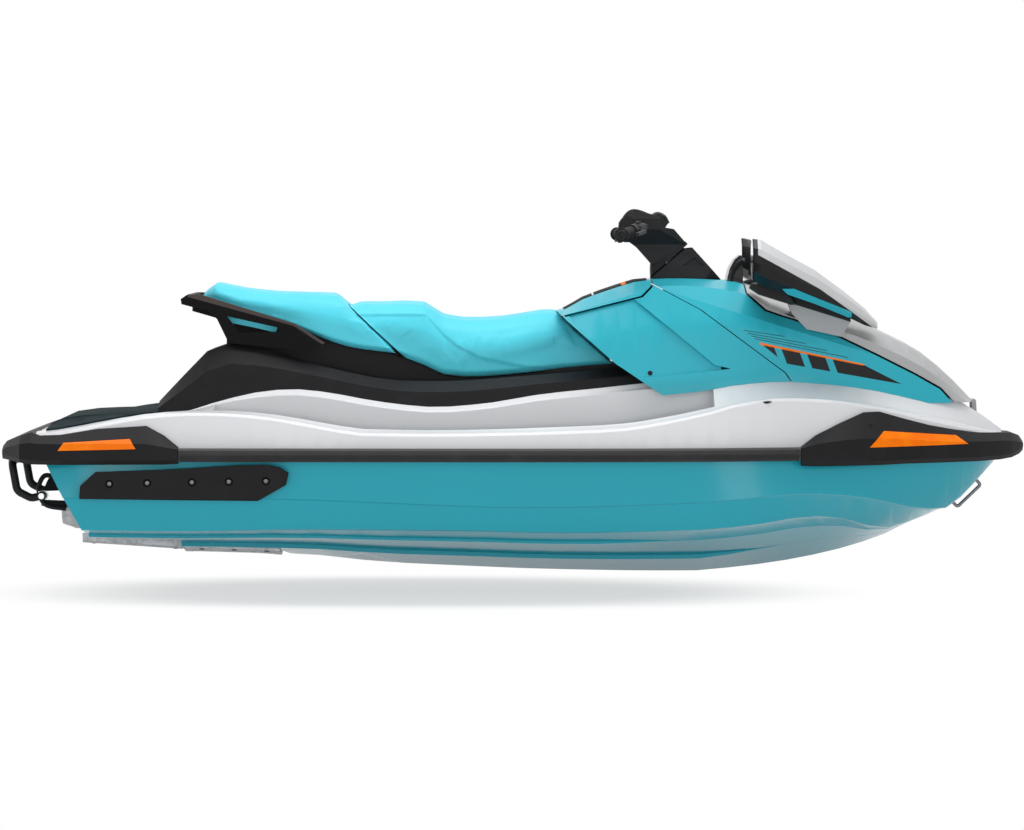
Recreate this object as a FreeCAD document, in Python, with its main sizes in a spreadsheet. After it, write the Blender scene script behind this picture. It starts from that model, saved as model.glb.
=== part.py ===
"""A three-seat personal watercraft: hull, deck, body panels, seats, steering and jet drive.

Frame: +X towards the bow, +Y to port, +Z up. The origin is on the still waterline,
on the centre plane, half way between the stern bumper and the nose. Millimetres.
"""
import FreeCAD
import Part
import Sketcher
import math
import os
from FreeCAD import Placement, Rotation, Vector

doc = FreeCAD.newDocument("watercraft")
sheet = doc.addObject("Spreadsheet::Sheet", "Sizes")

SIZES = {
    # whole craft
    "hull_length": 3350, "beam": 1220, "draft": 260, "deck_height": 250,
    "overrun": 60, "fit_gap": 0.4, "panel_gap": 5, "panel_wall": 22, "pin_proud": 2,
    "pin_fit": 0.1, "bearing_fit": 0.3,
    # lower hull
    "bond_height": 131, "strake_step": 13, "chine_width": 34, "chine_drop": 5,
    "knuckle_lip": 9, "transom_place": 147, "transom_rake": 110, "transom_fall": 210,
    "bay_floor": -150, "bay_margin": 6,
    # rub rail and bumpers
    "rail_height": 43, "rail_thickness": 38, "rail_lip": 6, "rail_strip": 18,
    "bumper_proud": 10, "bumper_edge": 14, "bumper_relief": 4, "insert_proud": 3, "insert_depth": 9,
    # deck
    "gunwale_lean": 0.25, "gunwale_rim": 46, "gunwale_shoulder": 9, "pedestal_lip": 9,
    "lip_fade": 70, "well_floor": 152, "well_place": 690, "well_length": 1620,
    "well_wall": 8, "well_slope": 10, "well_inset": 60, "mat_thickness": 6,
    "mat_place": 148, "mat_width": 880, "mat_margin": 20,
    # tunnel and jet drive
    "tunnel_width": 270, "tunnel_length": 540, "tunnel_roof": 85,
    "duct_length": 380, "duct_throat": 20, "duct_width": 170, "pump_height": -45, "pump_bore": 160,
    "pump_wall": 10, "pump_length": 225, "pump_flange": 18, "flange_length": 12,
    "pump_foot_width": 60, "pump_foot_length": 105, "pump_foot_setback": 60,
    "nozzle_mouth": 96, "nozzle_length": 80, "nozzle_wall": 7,
    "stator_length": 50, "stator_hub": 62, "stator_count": 5,
    "pivot_place": 238, "steer_nozzle_length": 88, "steer_nozzle_lead": 12,
    "impeller_place": 95, "impeller_length": 74, "impeller_hub": 62, "nose_length": 25,
    "impeller_clearance": 3, "blade_thickness": 6, "blade_chord": 70, "blade_count": 4,
    "root_pitch": 35, "tip_pitch": 55, "shaft_diameter": 24, "shaft_end_gap": 1.2,
    "yaw_pin": 12, "bucket_place": 290, "bucket_radius": 190, "bucket_wall": 8,
    "bucket_width": 216, "bucket_start": 2, "bucket_sweep": 32, "bucket_pin": 16,
    "bucket_rib": 6, "ride_plate_length": 330, "ride_plate_place": 240, "plate_skin": 9,
    "plate_overlap": 26, "plate_rise": 34, "plate_wall": 8, "plate_top": 124,
    "plate_fall": 13, "plate_depth": 40, "grate_proud": 6, "grate_length": 320,
    "grate_bar": 9, "grate_count": 5, "grate_margin": 25,
    # boarding step
    "step_tube": 26, "step_width": 440, "step_place": 112, "step_height": 2,
    "step_reach": 98, "step_rise": 112, "step_knee": 34, "step_drop": 8, "step_bend": 30,
    "step_bracket": 46, "step_bracket_length": 240,
    # bow eye and sponsons
    "eye_bar": 11, "eye_reach": 22, "eye_bend": 8, "sponson_proud": 26,
    # engine
    "engine_length": 560, "engine_width": 330, "engine_height": 370,
    "engine_place": 1180,
    # seats
    "seat_width": 430, "seat_pedestal": 300, "surround_inset": 4,
    "handle_tube": 27, "handle_lap": 90, "tray_length": 220, "tray_width": 230,
    "tray_depth": 190, "tray_wall": 5, "tray_place": 720,
    # body panels
    "recess_depth": 12, "recess_slope": 2.2, "bin_length": 330, "bin_width": 300,
    "bin_place": 2560, "bin_floor": -20, "bin_wall": 5,
    "glove_length": 140, "glove_width": 190, "glove_depth": 112, "glove_place": 1968,
    "glove_rim": 600,
    # hood hinge
    "hinge_place": 3187, "hinge_height": 306, "hinge_barrel": 14, "hinge_bore": 6.2,
    "hinge_pin": 6, "hinge_width": 56, "hinge_leaf": 5, "hinge_ear": 12,
    "hinge_foot": 125,
    # mirrors and display
    "mirror_glass": 4, "mirror_insert_depth": 8, "display_width": 180,
    # steering
    "steer_place": 2172, "steer_height": 762, "steer_lean": 40.7,
    "steer_shaft": 30, "steer_shaft_foot": 40, "steer_shaft_head": 75,
    "head_width": 130, "cover_width": 150, "cover_recess": 5,
    "bar_tube": 22, "bar_span": 730, "bar_place": 2110, "bar_height": 884, "bar_bend": 40,
    "grip_drop": 26, "grip_back": 98, "grip_length": 125, "grip_diameter": 36,
    "grip_flange": 46, "flange_width": 5, "lever_length": 96,
    "lever_thickness": 11,
}

for row, (alias, value) in enumerate(SIZES.items(), start=1):
    sheet.set(f"A{row}", alias.replace("_", " "))
    sheet.set(f"B{row}", str(value))
    sheet.setAlias(f"B{row}", alias)
doc.recompute()


def size(alias):
    return float(getattr(sheet, alias))


LENGTH = size("hull_length")
HALF = size("beam") / 2
DRAFT = size("draft")
DECK = size("deck_height")
GAP = size("fit_gap")
BOND = size("bond_height")
OVER = size("overrun")
STERN = -LENGTH / 2

# Lines of the craft: shares of the length, then of draft, half beam or deck height
KEEL_SHARES = [
    (-0.47, -0.7), (-0.42, -0.71), (-0.2701, -0.75), (-0.2167, -0.79),
    (-0.171, -0.82), (-0.1481, -0.873), (-0.0645, -0.931), (0.0367, -0.981),
    (0.1382, -1.0), (0.171, -1.0), (0.2116, -0.958), (0.2525, -0.892),
    (0.2833, -0.823), (0.3119, -0.742), (0.3409, -0.635), (0.3657, -0.519),
    (0.386, -0.385), (0.4042, -0.265), (0.4242, -0.173), (0.4319, -0.123),
    (0.4549, 0.162), (0.4725, 0.423)]
CHINE_RISE_SHARES = [
    (-0.47, -0.354), (-0.3254, -0.372), (-0.21, -0.345), (-0.0388, -0.362),
    (0.0355, -0.385), (0.1749, -0.358), (0.2346, -0.288), (0.2836, -0.205),
    (0.314, -0.238), (0.329, -0.3), (0.3582, -0.4), (0.386, -0.335),
    (0.4116, -0.222), (0.4319, -0.1), (0.4549, 0.18), (0.4725, 0.435)]
CHINE_HALF_SHARES = [
    (-0.47, 0.77), (-0.3254, 0.811), (-0.0388, 0.82), (0.1749, 0.787),
    (0.2346, 0.738), (0.2836, 0.656), (0.314, 0.566), (0.329, 0.505),
    (0.3582, 0.352), (0.386, 0.205), (0.4116, 0.1), (0.4319, 0.062),
    (0.4549, 0.045), (0.4725, 0.034)]
KNUCKLE_RISE_SHARES = [
    (-0.47, 0.054), (-0.26, 0.054), (-0.19, 0.031), (0.0113, -0.058),
    (0.1743, 0.0), (0.2833, 0.096), (0.3325, 0.038), (0.3657, -0.058),
    (0.3982, -0.15), (0.4179, -0.16), (0.4319, -0.07), (0.4549, 0.205),
    (0.4725, 0.446)]
KNUCKLE_HALF_SHARES = [
    (-0.47, 0.852), (-0.26, 0.898), (0.0113, 0.905), (0.1743, 0.885),
    (0.2833, 0.795), (0.3325, 0.68), (0.3657, 0.541), (0.3982, 0.352),
    (0.4179, 0.24), (0.4319, 0.18), (0.4549, 0.11), (0.4725, 0.07)]
RAIL_HALF_SHARES = [
    (-0.5, 0.62), (-0.4776, 0.82), (-0.4328, 0.902), (-0.2985, 0.967),
    (-0.1194, 0.995), (0.0, 1.0), (0.0896, 0.992), (0.1791, 0.951),
    (0.2687, 0.844), (0.3582, 0.656), (0.4179, 0.475), (0.4627, 0.295),
    (0.4896, 0.148), (0.5, 0.06)]
GUNWALE_RISE_SHARES = [
    (-0.5, 0.86), (-0.4615, 0.872), (-0.3519, 1.112), (-0.3107, 1.148),
    (-0.2815, 1.14), (-0.2427, 1.096), (-0.19, 0.976), (-0.148, 0.892),
    (-0.0869, 0.884), (0.0842, 0.936), (0.1743, 1.124), (0.2134, 1.26),
    (0.2534, 1.324), (0.2958, 1.3), (0.346, 1.204), (0.4021, 1.032),
    (0.443, 0.904), (0.4755, 0.8), (0.5, 0.75)]
DECK_RISE_SHARES = [
    (-0.5, 0.84), (-0.469, 0.848), (-0.4585, 0.96), (-0.4287, 1.052),
    (-0.3976, 1.072), (-0.3567, 1.084), (-0.3352, 1.1), (-0.2893, 1.268),
    (-0.2534, 1.38), (-0.22, 1.42), (-0.19, 1.388), (-0.15, 1.292),
    (-0.11, 1.216), (-0.0806, 1.188), (-0.037, 1.228), (0.0233, 1.356),
    (0.0827, 1.44), (0.1245, 1.5), (0.1764, 1.54), (0.2161, 1.612),
    (0.2588, 1.636), (0.2967, 1.6), (0.3367, 1.54), (0.3848, 1.41),
    (0.4179, 1.3), (0.4487, 1.16), (0.469, 0.9), (0.5, 0.78)]
SURROUND_RISE_SHARES = [
    (-0.351, 1.252), (-0.3167, 1.736), (-0.3027, 1.924), (-0.2928, 2.016),
    (-0.2827, 2.016), (-0.2648, 1.976), (-0.191, 1.708), (-0.1107, 1.52),
    (-0.0764, 1.516), (0.0233, 1.596), (0.1036, 1.688), (0.14, 1.73)]
REAR_SEAT_SHARES = [
    (-0.3125, 2.56, 2.66, 0.5), (-0.3045, 2.53, 2.76, 0.74),
    (-0.2943, 2.49, 2.808, 0.86), (-0.2863, 2.46, 2.768, 0.9),
    (-0.2699, 2.4, 2.72, 0.93), (-0.2337, 2.28, 2.672, 0.96),
    (-0.205, 2.13, 2.66, 1.0), (-0.186, 2.03, 2.655, 1.0),
    (-0.16, 1.93, 2.6, 1.0), (-0.11, 1.85, 2.5, 1.0)]
FRONT_SEAT_SHARES = [
    (-0.17, 1.93, 2.536, 1.0), (-0.1325, 1.88, 2.536, 1.0),
    (-0.0982, 1.74, 2.552, 1.0), (-0.0716, 1.58, 2.364, 1.0),
    (-0.0472, 1.55, 2.324, 0.96), (-0.017, 1.57, 2.344, 0.88),
    (0.0137, 1.61, 2.408, 0.8), (0.0328, 1.64, 2.448, 0.75),
    (0.05, 1.67, 2.42, 0.72), (0.1, 1.72, 2.3, 0.7)]
# Upper body: bottom comes from the deck; then shoulder half, shoulder rise, top rise
BODY_SHARES = [
    (0.03, 0.45, 2.2, 2.4), (0.0409, 0.43, 2.36, 2.43), (0.0639, 0.42, 2.46, 2.6),
    (0.0946, 0.41, 2.58, 2.75), (0.1137, 0.41, 2.66, 2.83), (0.129, 0.41, 2.74, 2.85),
    (0.1552, 0.41, 2.77, 2.86), (0.1997, 0.41, 2.72, 2.84), (0.226, 0.41, 2.64, 2.79),
    (0.2421, 0.42, 2.5, 2.66), (0.2746, 0.42, 2.32, 2.5), (0.3322, 0.4, 2.1, 2.32),
    (0.3567, 0.37, 1.96, 2.17), (0.3958, 0.3, 1.7, 1.9), (0.4266, 0.2, 1.42, 1.56),
    (0.4487, 0.12, 1.2, 1.25)]


def slopes(table):
    """Slopes of a smooth line that does not overshoot its own points."""
    steps = [(b[1] - a[1]) / (b[0] - a[0]) for a, b in zip(table, table[1:])]
    inner = [0.0 if a * b <= 0 else 2 * a * b / (a + b) for a, b in zip(steps, steps[1:])]
    return [steps[0]] + inner + [steps[-1]]


def line(table, unit):
    """Return the smooth line through a table of shares, as a function of x."""
    rates = slopes(table)

    def value(x):
        share = min(max(x / LENGTH, table[0][0]), table[-1][0])
        i = max(k for k in range(len(table) - 1) if table[k][0] <= share)
        width = table[i + 1][0] - table[i][0]
        u = (share - table[i][0]) / width
        rise = table[i + 1][1] - table[i][1]
        a = rates[i] * width - rise
        b = rise - rates[i + 1] * width
        mix = table[i][1] + u * rise + u * (1 - u) * (a * (1 - u) + b * u)
        return mix * unit

    return value


def column(table, index):
    return [(row[0], row[index]) for row in table]


keel_z = line(KEEL_SHARES, DRAFT)
chine_z = line(CHINE_RISE_SHARES, DRAFT)
chine_y = line(CHINE_HALF_SHARES, HALF)
knuckle_z = line(KNUCKLE_RISE_SHARES, DRAFT)
knuckle_y = line(KNUCKLE_HALF_SHARES, HALF)
rail_y = line(RAIL_HALF_SHARES, HALF)
gunwale_z = line(GUNWALE_RISE_SHARES, DECK)
deck_z = line(DECK_RISE_SHARES, DECK)
surround_z = line(SURROUND_RISE_SHARES, DECK)
body_y = line(column(BODY_SHARES, 1), HALF)
shoulder_z = line(column(BODY_SHARES, 2), DECK)
body_z = line(column(BODY_SHARES, 3), DECK)


def side_y(x):
    return rail_y(x) - size("rail_thickness")


def crease_y(x):
    rise = gunwale_z(x) - BOND - size("rail_height")
    return side_y(x) - size("gunwale_lean") * rise


def pedestal_y(x):
    return PEDESTAL_SHARE * crease_y(x)


PEDESTAL_SHARE = 0.57

NODES = {}


def keep(name, shape, cleaned=True):
    """Put a shape in the document as a named sub-part."""
    feature = doc.addObject("Part::Feature", name)
    feature.Shape = shape.removeSplitter() if cleaned else shape
    feature.Placement = Placement()
    return keep_bound(name, feature)


def keep_bound(name, feature):
    """Note an object of the document as a sub-part under its own label."""
    feature.Label = name
    NODES[name] = feature
    return feature


# Objects whose sizes are bound to the sheet by expressions
STERN_CELL = "-Sizes.hull_length / 2"


def bind(thing, **texts):
    """Tie properties to expressions over the sheet; a double underscore stands for a dot."""
    for path, text in texts.items():
        thing.setExpression(path.replace("__", "."), text)
    return thing


def put(thing, x="0", y="0", z="0", axis=None, angle=0):
    """Place a bound object: three expressions, and a turn about an axis."""
    if axis:
        thing.Placement = Placement(Vector(), Rotation(axis, angle))
    for letter, text in (("x", x), ("y", y), ("z", z)):
        thing.setExpression(f"Placement.Base.{letter}", text)
    return thing


def worth(text):
    """Present value of an expression over the sheet."""
    return float(sheet.evalExpression(text))


def joined(name, things):
    fused = doc.addObject("Part::MultiFuse", name)
    fused.Shapes = things
    return fused


def carved(name, base, tool):
    cut = doc.addObject("Part::Cut", name)
    cut.Base = base
    cut.Tool = tool
    return cut


def origin_part(body, role):
    return next(item for item in body.Origin.OriginFeatures if item.Role == role)


def outline_sketch(body, name, role, corners):
    """Closed outline on one of the body's own planes; corners are pairs of expressions."""
    sketch = body.newObject("Sketcher::SketchObject", name)
    sketch.AttachmentSupport = (origin_part(body, role), [""])
    sketch.MapMode = "FlatFace"
    points = [Vector(worth(a), worth(b), 0) for a, b in corners]
    for start, end in zip(points, points[1:] + points[:1]):
        sketch.addGeometry(Part.LineSegment(start, end), False)
    for i in range(len(points)):
        follower = (i + 1) % len(points)
        sketch.addConstraint(Sketcher.Constraint("Coincident", i, 2, follower, 1))
    for i, (corner, point) in enumerate(zip(corners, points)):
        tie_corner(sketch, i, ("DistanceX", corner[0], point.x, -2))
        tie_corner(sketch, i, ("DistanceY", corner[1], point.y, -1))
    return sketch


def tie_corner(sketch, i, tie):
    """Hold one coordinate of a corner: on the axis, or at its expression."""
    kind, text, place, axis = tie
    if text == "0":
        sketch.addConstraint(Sketcher.Constraint("PointOnObject", i, 1, axis))
    else:
        index = sketch.addConstraint(Sketcher.Constraint(kind, -1, 1, i, 1, place))
        sketch.setExpression(f"Constraints[{index}]", text)


def turned(body, name, corners):
    """Revolve an outline of x and radius expressions about the body's fore-and-aft axis."""
    sketch = outline_sketch(body, name + "_outline", "XZ_Plane", corners)
    feature = body.newObject("PartDesign::Revolution", name)
    feature.Profile = sketch
    feature.ReferenceAxis = (sketch, ["H_Axis"])
    feature.Angle = 360
    return feature


def repeated(body, feature, name, count):
    """Polar pattern of a feature about the body's fore-and-aft axis."""
    doc.recompute()
    pattern = body.newObject("PartDesign::PolarPattern", name)
    pattern.Originals = [feature]
    pattern.Axis = (origin_part(body, "X_Axis"), [""])
    pattern.Angle = 360
    pattern.setExpression("Occurrences", count)
    body.Tip = pattern
    return pattern


def mirrored(points):
    """Close a half outline, given from the centre line outwards, about the centre plane."""
    other = [(-y, z) for y, z in reversed(points) if abs(y) > GAP / 2]
    return points + other


def section(x, points):
    return Part.makePolygon([Vector(x, y, z) for y, z in points + points[:1]])


def loft(rows):
    """Solid through sections, each given as x and a closed list of y, z points."""
    return Part.makeLoft([section(x, pts) for x, pts in rows], True, True)


def prism(points, low, high):
    """Solid between two y planes with an outline given as x, z points."""
    wire = Part.makePolygon([Vector(x, low, z) for x, z in points + points[:1]])
    return Part.Face(wire).extrude(Vector(0, high - low, 0))


def box(x0, x1, y0, y1, z0, z1):
    return Part.makeBox(x1 - x0, y1 - y0, z1 - z0, Vector(x0, y0, z0))


def rod(start, end, radius):
    axis = end - start
    return Part.makeCylinder(radius, axis.Length, start, axis)


def both(shape):
    """A shape and its mirror image about the centre plane, as one compound."""
    return Part.makeCompound([shape, shape.mirror(Vector(), Vector(0, 1, 0))])


def stations(start, end, count, crowd=1.0):
    """Places from start to end, evenly spaced or crowded towards the end."""
    steps = [1.0 - (1.0 - i / (count - 1)) ** crowd for i in range(count)]
    return [start + (end - start) * step for step in steps]


def bent_bar(points, radius, bend):
    """Round bar along straight runs that are joined by tangent arcs."""
    edges = []
    start = points[0]
    for before, corner, after in zip(points, points[1:], points[2:]):
        into = (corner - before).normalize()
        out = (after - corner).normalize()
        half_turn = into.getAngle(out) / 2
        reach = bend * math.tan(half_turn)
        first, last = corner - into * reach, corner + out * reach
        inward = (out - into).normalize()
        middle = corner + inward * (bend / math.cos(half_turn) - bend)
        edges += [Part.LineSegment(start, first).toShape(), Part.Arc(first, middle, last).toShape()]
        start = last
    edges.append(Part.LineSegment(start, points[-1]).toShape())
    ring = Part.makeCircle(radius, points[0], (points[1] - points[0]).normalize())
    return Part.Wire(edges).makePipeShell([Part.Wire(ring)], True, False)


def shares_to_points(table):
    return [(a * LENGTH, b * DECK) for a, b in table]


STRAKES = [(0.328, 0.245, 1.0), (0.623, 0.154, 0.6)]


def hull_section(x, grow=0.0):
    keel, chine = keel_z(x), chine_z(x)
    half = chine_y(x)
    points = [(0.0, keel - grow)]
    for place_share, tip_share, step_share in STRAKES:
        y = min(place_share * HALF, place_share * half / CHINE_AMIDSHIP_SHARE)
        fade = min(max((tip_share * LENGTH - x) / (FADE_SHARE * LENGTH), 0.0), 1.0)
        step = size("strake_step") * step_share * fade + GAP
        z = keel + (chine - keel) * y / half
        points.append((y, z - step - grow))
        points.append((y + GAP, z - grow))
    flat = min(size("chine_width"), half * CHINE_AMIDSHIP_SHARE / 4)
    points.append((half - flat, chine - size("chine_drop") * flat / size("chine_width") - grow))
    points.append((half + grow, chine))
    lip = min(size("knuckle_lip"), knuckle_y(x) / 8)
    points.append((knuckle_y(x) - lip + grow, knuckle_z(x) - lip / 2))
    points.append((knuckle_y(x) + grow, knuckle_z(x)))
    points.append((side_y(x) + grow, BOND))
    points.append((0.0, BOND))
    return mirrored(points)


CHINE_AMIDSHIP_SHARE = 0.82
FADE_SHARE = 0.06
# Stations of the main lofts: start, end, number of them, and how they crowd to the bow
HULL_SPAN_SHARES = (-0.47, 0.4725, 32, 1.6)
DECK_SPAN_SHARES = (-0.4648, 0.478, 46, 1.0)
BODY_SPAN_SHARES = (0.03, 0.4487, 26, 1.0)


def hull_body(grow=0.0, start=-1.0, end=1.0):
    return stored(HULL_SPAN_SHARES, hull_section, (grow, start, end))


def stored(span_shares, outline, key):
    """Loft through outlines at fixed stations between two places, made once for each key."""
    if (span_shares, key) not in LOFTS:
        grow, start, end = key
        shares = stations(*span_shares)
        low = max([i for i, share in enumerate(shares) if share <= start], default=0)
        high = min([i for i, share in enumerate(shares) if share >= end], default=len(shares) - 1)
        rows = [(share * LENGTH, outline(share * LENGTH, grow)) for share in shares[low:high + 1]]
        LOFTS[span_shares, key] = loft(rows)
    return LOFTS[span_shares, key]


LOFTS = {}


def transom_cut(shift=0.0):
    """Everything behind the raked transom, moved aft by a shift."""
    top = STERN + size("transom_place") - shift
    lean = size("transom_rake") / size("transom_fall")
    low = -DRAFT - OVER
    foot = top + (BOND + GAP - low) * lean
    back = STERN - OVER
    return prism([(back, BOND + GAP), (top, BOND + GAP), (foot, low), (back, low)], -HALF, HALF)


def tunnel_cut():
    half = size("tunnel_width") / 2
    front = STERN + size("tunnel_length")
    return box(STERN - OVER, front, -half, half, -DRAFT - OVER, size("tunnel_roof"))


def duct_cut():
    """Water duct from the bottom up to the front of the pump."""
    front = STERN + size("tunnel_length")
    half = size("duct_width") / 2
    axis = size("pump_height")
    radius = size("pump_bore") / 2
    low = -DRAFT - OVER
    reach = front + size("duct_length")
    throat, back = front + size("duct_throat"), front - size("duct_throat")
    outline = [(back, axis + radius), (throat, axis + radius), (reach, keel_z(reach)),
               (reach, low), (throat, low), (throat, axis - radius), (back, axis - radius)]
    return prism(outline, -half, half)


def shaft_hole():
    axis = size("pump_height")
    front = STERN + size("tunnel_length")
    radius = size("shaft_diameter") / 2 + size("bearing_fit")
    start = Vector(front, 0, axis)
    end = Vector(STERN + size("engine_place"), 0, axis)
    return rod(start, end, radius)


def bay_cut():
    margin = size("bay_margin")
    start = STERN + size("engine_place") - margin
    end = start + size("engine_length") + 2 * margin
    half = size("engine_width") / 2 + margin
    floor = size("bay_floor")
    return box(start, end, -half, half, floor, floor + size("engine_height") + margin)


def bin_box(grow):
    start = STERN + size("bin_place")
    half = size("bin_width") / 2 + grow
    end = start + size("bin_length")
    top = 2 * DECK
    return box(start - grow, end + grow, -half, half, size("bin_floor") - grow, top)


def plate_level(x):
    """Level of the flat on which the ride plate sits."""
    run = (x - STERN - size("ride_plate_place")) / size("ride_plate_length")
    return -size("plate_top") - size("plate_fall") * run


def plate_cut():
    """Flat for the ride plate, and the rebate for the intake grate ahead of it."""
    start = STERN + size("ride_plate_place")
    end = start + size("ride_plate_length")
    low = -DRAFT - OVER
    back = STERN - OVER
    flat = prism([(back, plate_level(back)), (end, plate_level(end)), (end, low), (back, low)],
                 -HALF, HALF)
    half = size("tunnel_width") / 2 + size("plate_overlap")
    rebate = hull_layer(end, end + size("grate_length"), half, size("plate_skin") + GAP)
    return flat, rebate


def hull_layer(start, end, half, depth):
    """A band below a surface that lies parallel to the hull bottom at a depth inside it."""
    low = -DRAFT - OVER
    rise = size("plate_rise")
    rows = []
    for x in stations(start, end, LAYER_STATIONS):
        keel = keel_z(x) + depth
        rows.append((x, mirrored([(0.0, low), (half, low), (half, keel + rise), (0.0, keel)])))
    return loft(rows)


LAYER_STATIONS = 4


def make_hull():
    body = hull_body().cut(transom_cut())
    tools = [tunnel_cut(), duct_cut(), shaft_hole(), bay_cut(), bin_box(GAP)]
    for tool in tools + list(plate_cut()):
        body = body.cut(tool)
    keep("hull_shell", body)


def deck_section(x, grow=0.0):
    """Deck section: flat bottom, side, gunwale with its shoulder, footwell shelf, pedestal lip."""
    low = BOND + GAP
    crease, inner = crease_y(x), pedestal_y(x)
    gunwale, top = gunwale_z(x), deck_z(x)
    rim = min(size("gunwale_rim"), crease * RIM_LIMIT_SHARE)
    shoulder = size("gunwale_shoulder") * rim / size("gunwale_rim")
    lip = size("pedestal_lip") * pedestal_fade(x)
    points = [(0.0, low - grow), (side_y(x) + grow, low - grow),
              (side_y(x) + grow, BOND + size("rail_height")),
              (crease + grow, gunwale - shoulder), (crease - shoulder, gunwale + grow),
              (crease - rim, gunwale + grow + RIM_SHARE * rim),
              (inner + lip + grow, top + grow - lip * LIP_SHARE), (inner, top + grow),
              (0.0, top + grow)]
    return mirrored(points)


def pedestal_fade(x):
    """Share of the pedestal's lip that is left where the pedestal runs out into the deck."""
    return min(max((deck_z(x) - gunwale_z(x)) / size("lip_fade"), LIP_LEAST_SHARE), 1.0)


RIM_SHARE = 0.12
RIM_LIMIT_SHARE = 0.25
LIP_SHARE = 1.4
LIP_LEAST_SHARE = 0.25


def deck_body(grow=0.0, start=-1.0, end=1.0):
    return stored(DECK_SPAN_SHARES, deck_section, (grow, start, end))


def well_edges(x):
    """Inner and outer limits of the footwell floor."""
    inner = pedestal_y(x) + size("pedestal_lip") + size("well_wall") + size("well_slope")
    return inner, crease_y(x) - size("well_inset")


def well_cuts():
    """Both footwells, wider at the top than at the floor."""
    start = STERN + size("well_place")
    floor, high = size("well_floor"), 2 * DECK
    slope = size("well_slope")
    rows = []
    for x in stations(start, start + size("well_length"), WELL_STATIONS):
        inner, outer = well_edges(x)
        rows.append((x, [(inner, floor), (outer, floor), (outer + slope, high),
                         (inner - slope, high)]))
    return both(loft(rows)).Solids


WELL_STATIONS = 14


def make_deck():
    body = deck_body()
    for tool in well_cuts() + [bay_cut(), bin_box(GAP)]:
        body = body.cut(tool)
    keep("deck_moulding", body)


def make_rails():
    start = bumper_stern_end() + size("panel_gap")
    end = bumper_bow_start() - size("panel_gap")
    rows = []
    strips = []
    lip = size("rail_lip")
    for x in stations(start, end, RAIL_STATIONS):
        inner = side_y(x) - lip
        outer = rail_y(x)
        low, high = BOND + GAP, BOND + size("rail_height")
        rows.append((x, [(inner, low), (outer - lip, low), (outer, low + lip),
                         (outer, high - lip), (outer - lip, high), (inner, high)]))
        mid = low + lip + GAP
        top = mid + size("rail_strip")
        strips.append((x, [(outer + GAP, mid), (outer + lip / 2, mid + lip / 2),
                           (outer + lip / 2, top - lip / 2), (outer + GAP, top)]))
    rail = loft(rows).cut(deck_body(GAP))
    keep("rub_rails", both(largest(rail, 1)), False)
    keep("rail_strips", both(loft(strips)), False)


RAIL_STATIONS = 22


def bumper_bow_start():
    return BOW_BUMPER_SHARES[0][0] * LENGTH


def bumper_stern_end():
    return STERN_BUMPER_SHARES[-1][0] * LENGTH


# Bumper outlines: place, bottom, top of the outer face, top edge, outer reach
BOW_BUMPER_SHARES = [
    (0.272, 0.46, 0.69, 0.7), (0.287, 0.45, 0.74, 0.845), (0.31, 0.45, 0.78, 0.99),
    (0.3346, 0.45, 0.8, 1.13), (0.3507, 0.45, 0.8, 1.136), (0.375, 0.46, 0.78, 1.04),
    (0.4009, 0.46, 0.75, 0.948), (0.425, 0.46, 0.73, 0.885), (0.452, 0.46, 0.72, 0.83),
    (0.475, 0.47, 0.72, 0.818), (0.4875, 0.49, 0.71, 0.812), (0.496, 0.53, 0.69, 0.77),
    (0.5, 0.575, 0.67, 0.7)]
STERN_BUMPER_SHARES = [
    (-0.5, 0.53, 0.64, 0.69), (-0.4955, 0.525, 0.68, 0.76), (-0.48, 0.5, 0.74, 0.84),
    (-0.469, 0.48, 0.76, 0.892), (-0.4609, 0.48, 0.75, 0.848), (-0.44, 0.48, 0.75, 0.86),
    (-0.404, 0.485, 0.76, 0.94),
    (-0.357, 0.49, 0.76, 0.98), (-0.34, 0.492, 0.72, 0.86), (-0.3257, 0.5, 0.69, 0.71)]


def slope_y(x, z):
    """Outer half breadth of the deck side at a height."""
    rise = max(z - BOND - size("rail_height"), 0.0)
    return side_y(x) - size("gunwale_lean") * rise


def bumper_section(row, grow):
    place, low_share, mid_share, top_share = row
    x = place * LENGTH
    low, mid, top = low_share * DECK, mid_share * DECK, top_share * DECK
    outer = rail_y(x) + size("bumper_proud")
    edge = size("bumper_edge")
    crown = slope_y(x, top) + edge
    shelf = max(crown - 2 * edge, crown / 2)
    points = [(0.0, low - grow), (outer - edge, low - grow), (outer + grow, low + edge),
              (outer + grow, mid), (crown + grow, top), (shelf, top + grow),
              (0.0, top + grow)]
    return x, mirrored(points)


def bumper_body(table, grow=0.0):
    return loft([bumper_section(row, grow) for row in table])


BOW_INSERT_SHARES = [(0.3397, 0.684), (0.354, 0.892), (0.4278, 0.812), (0.4403, 0.696)]
STERN_INSERT_SHARES = [(-0.4415, 0.664), (-0.4358, 0.768), (-0.3719, 0.82), (-0.366, 0.692)]


def inlay(table, outline_shares, grow):
    window = prism(swollen(shares_to_points(outline_shares), grow), -HALF - OVER, HALF + OVER)
    proud = bumper_body(table, size("insert_proud") + grow)
    core = bumper_body(table, -size("insert_depth") - grow)
    return proud.common(window).cut(core)


def widened(points, grow):
    """Closed outline with every edge moved outward by a distance."""
    after = points[1:] + points[:1]
    area = sum(a[0] * b[1] - b[0] * a[1] for a, b in zip(points, after))
    headings = [Vector(b[0] - a[0], b[1] - a[1], 0).normalize() for a, b in zip(points, after)]
    moved = []
    for (x, z), into, out in zip(points, headings[-1:] + headings[:-1], headings):
        reach = math.copysign(grow, area) / (1 + into.dot(out))
        moved.append((x + (into.y + out.y) * reach, z - (into.x + out.x) * reach))
    return moved


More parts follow.
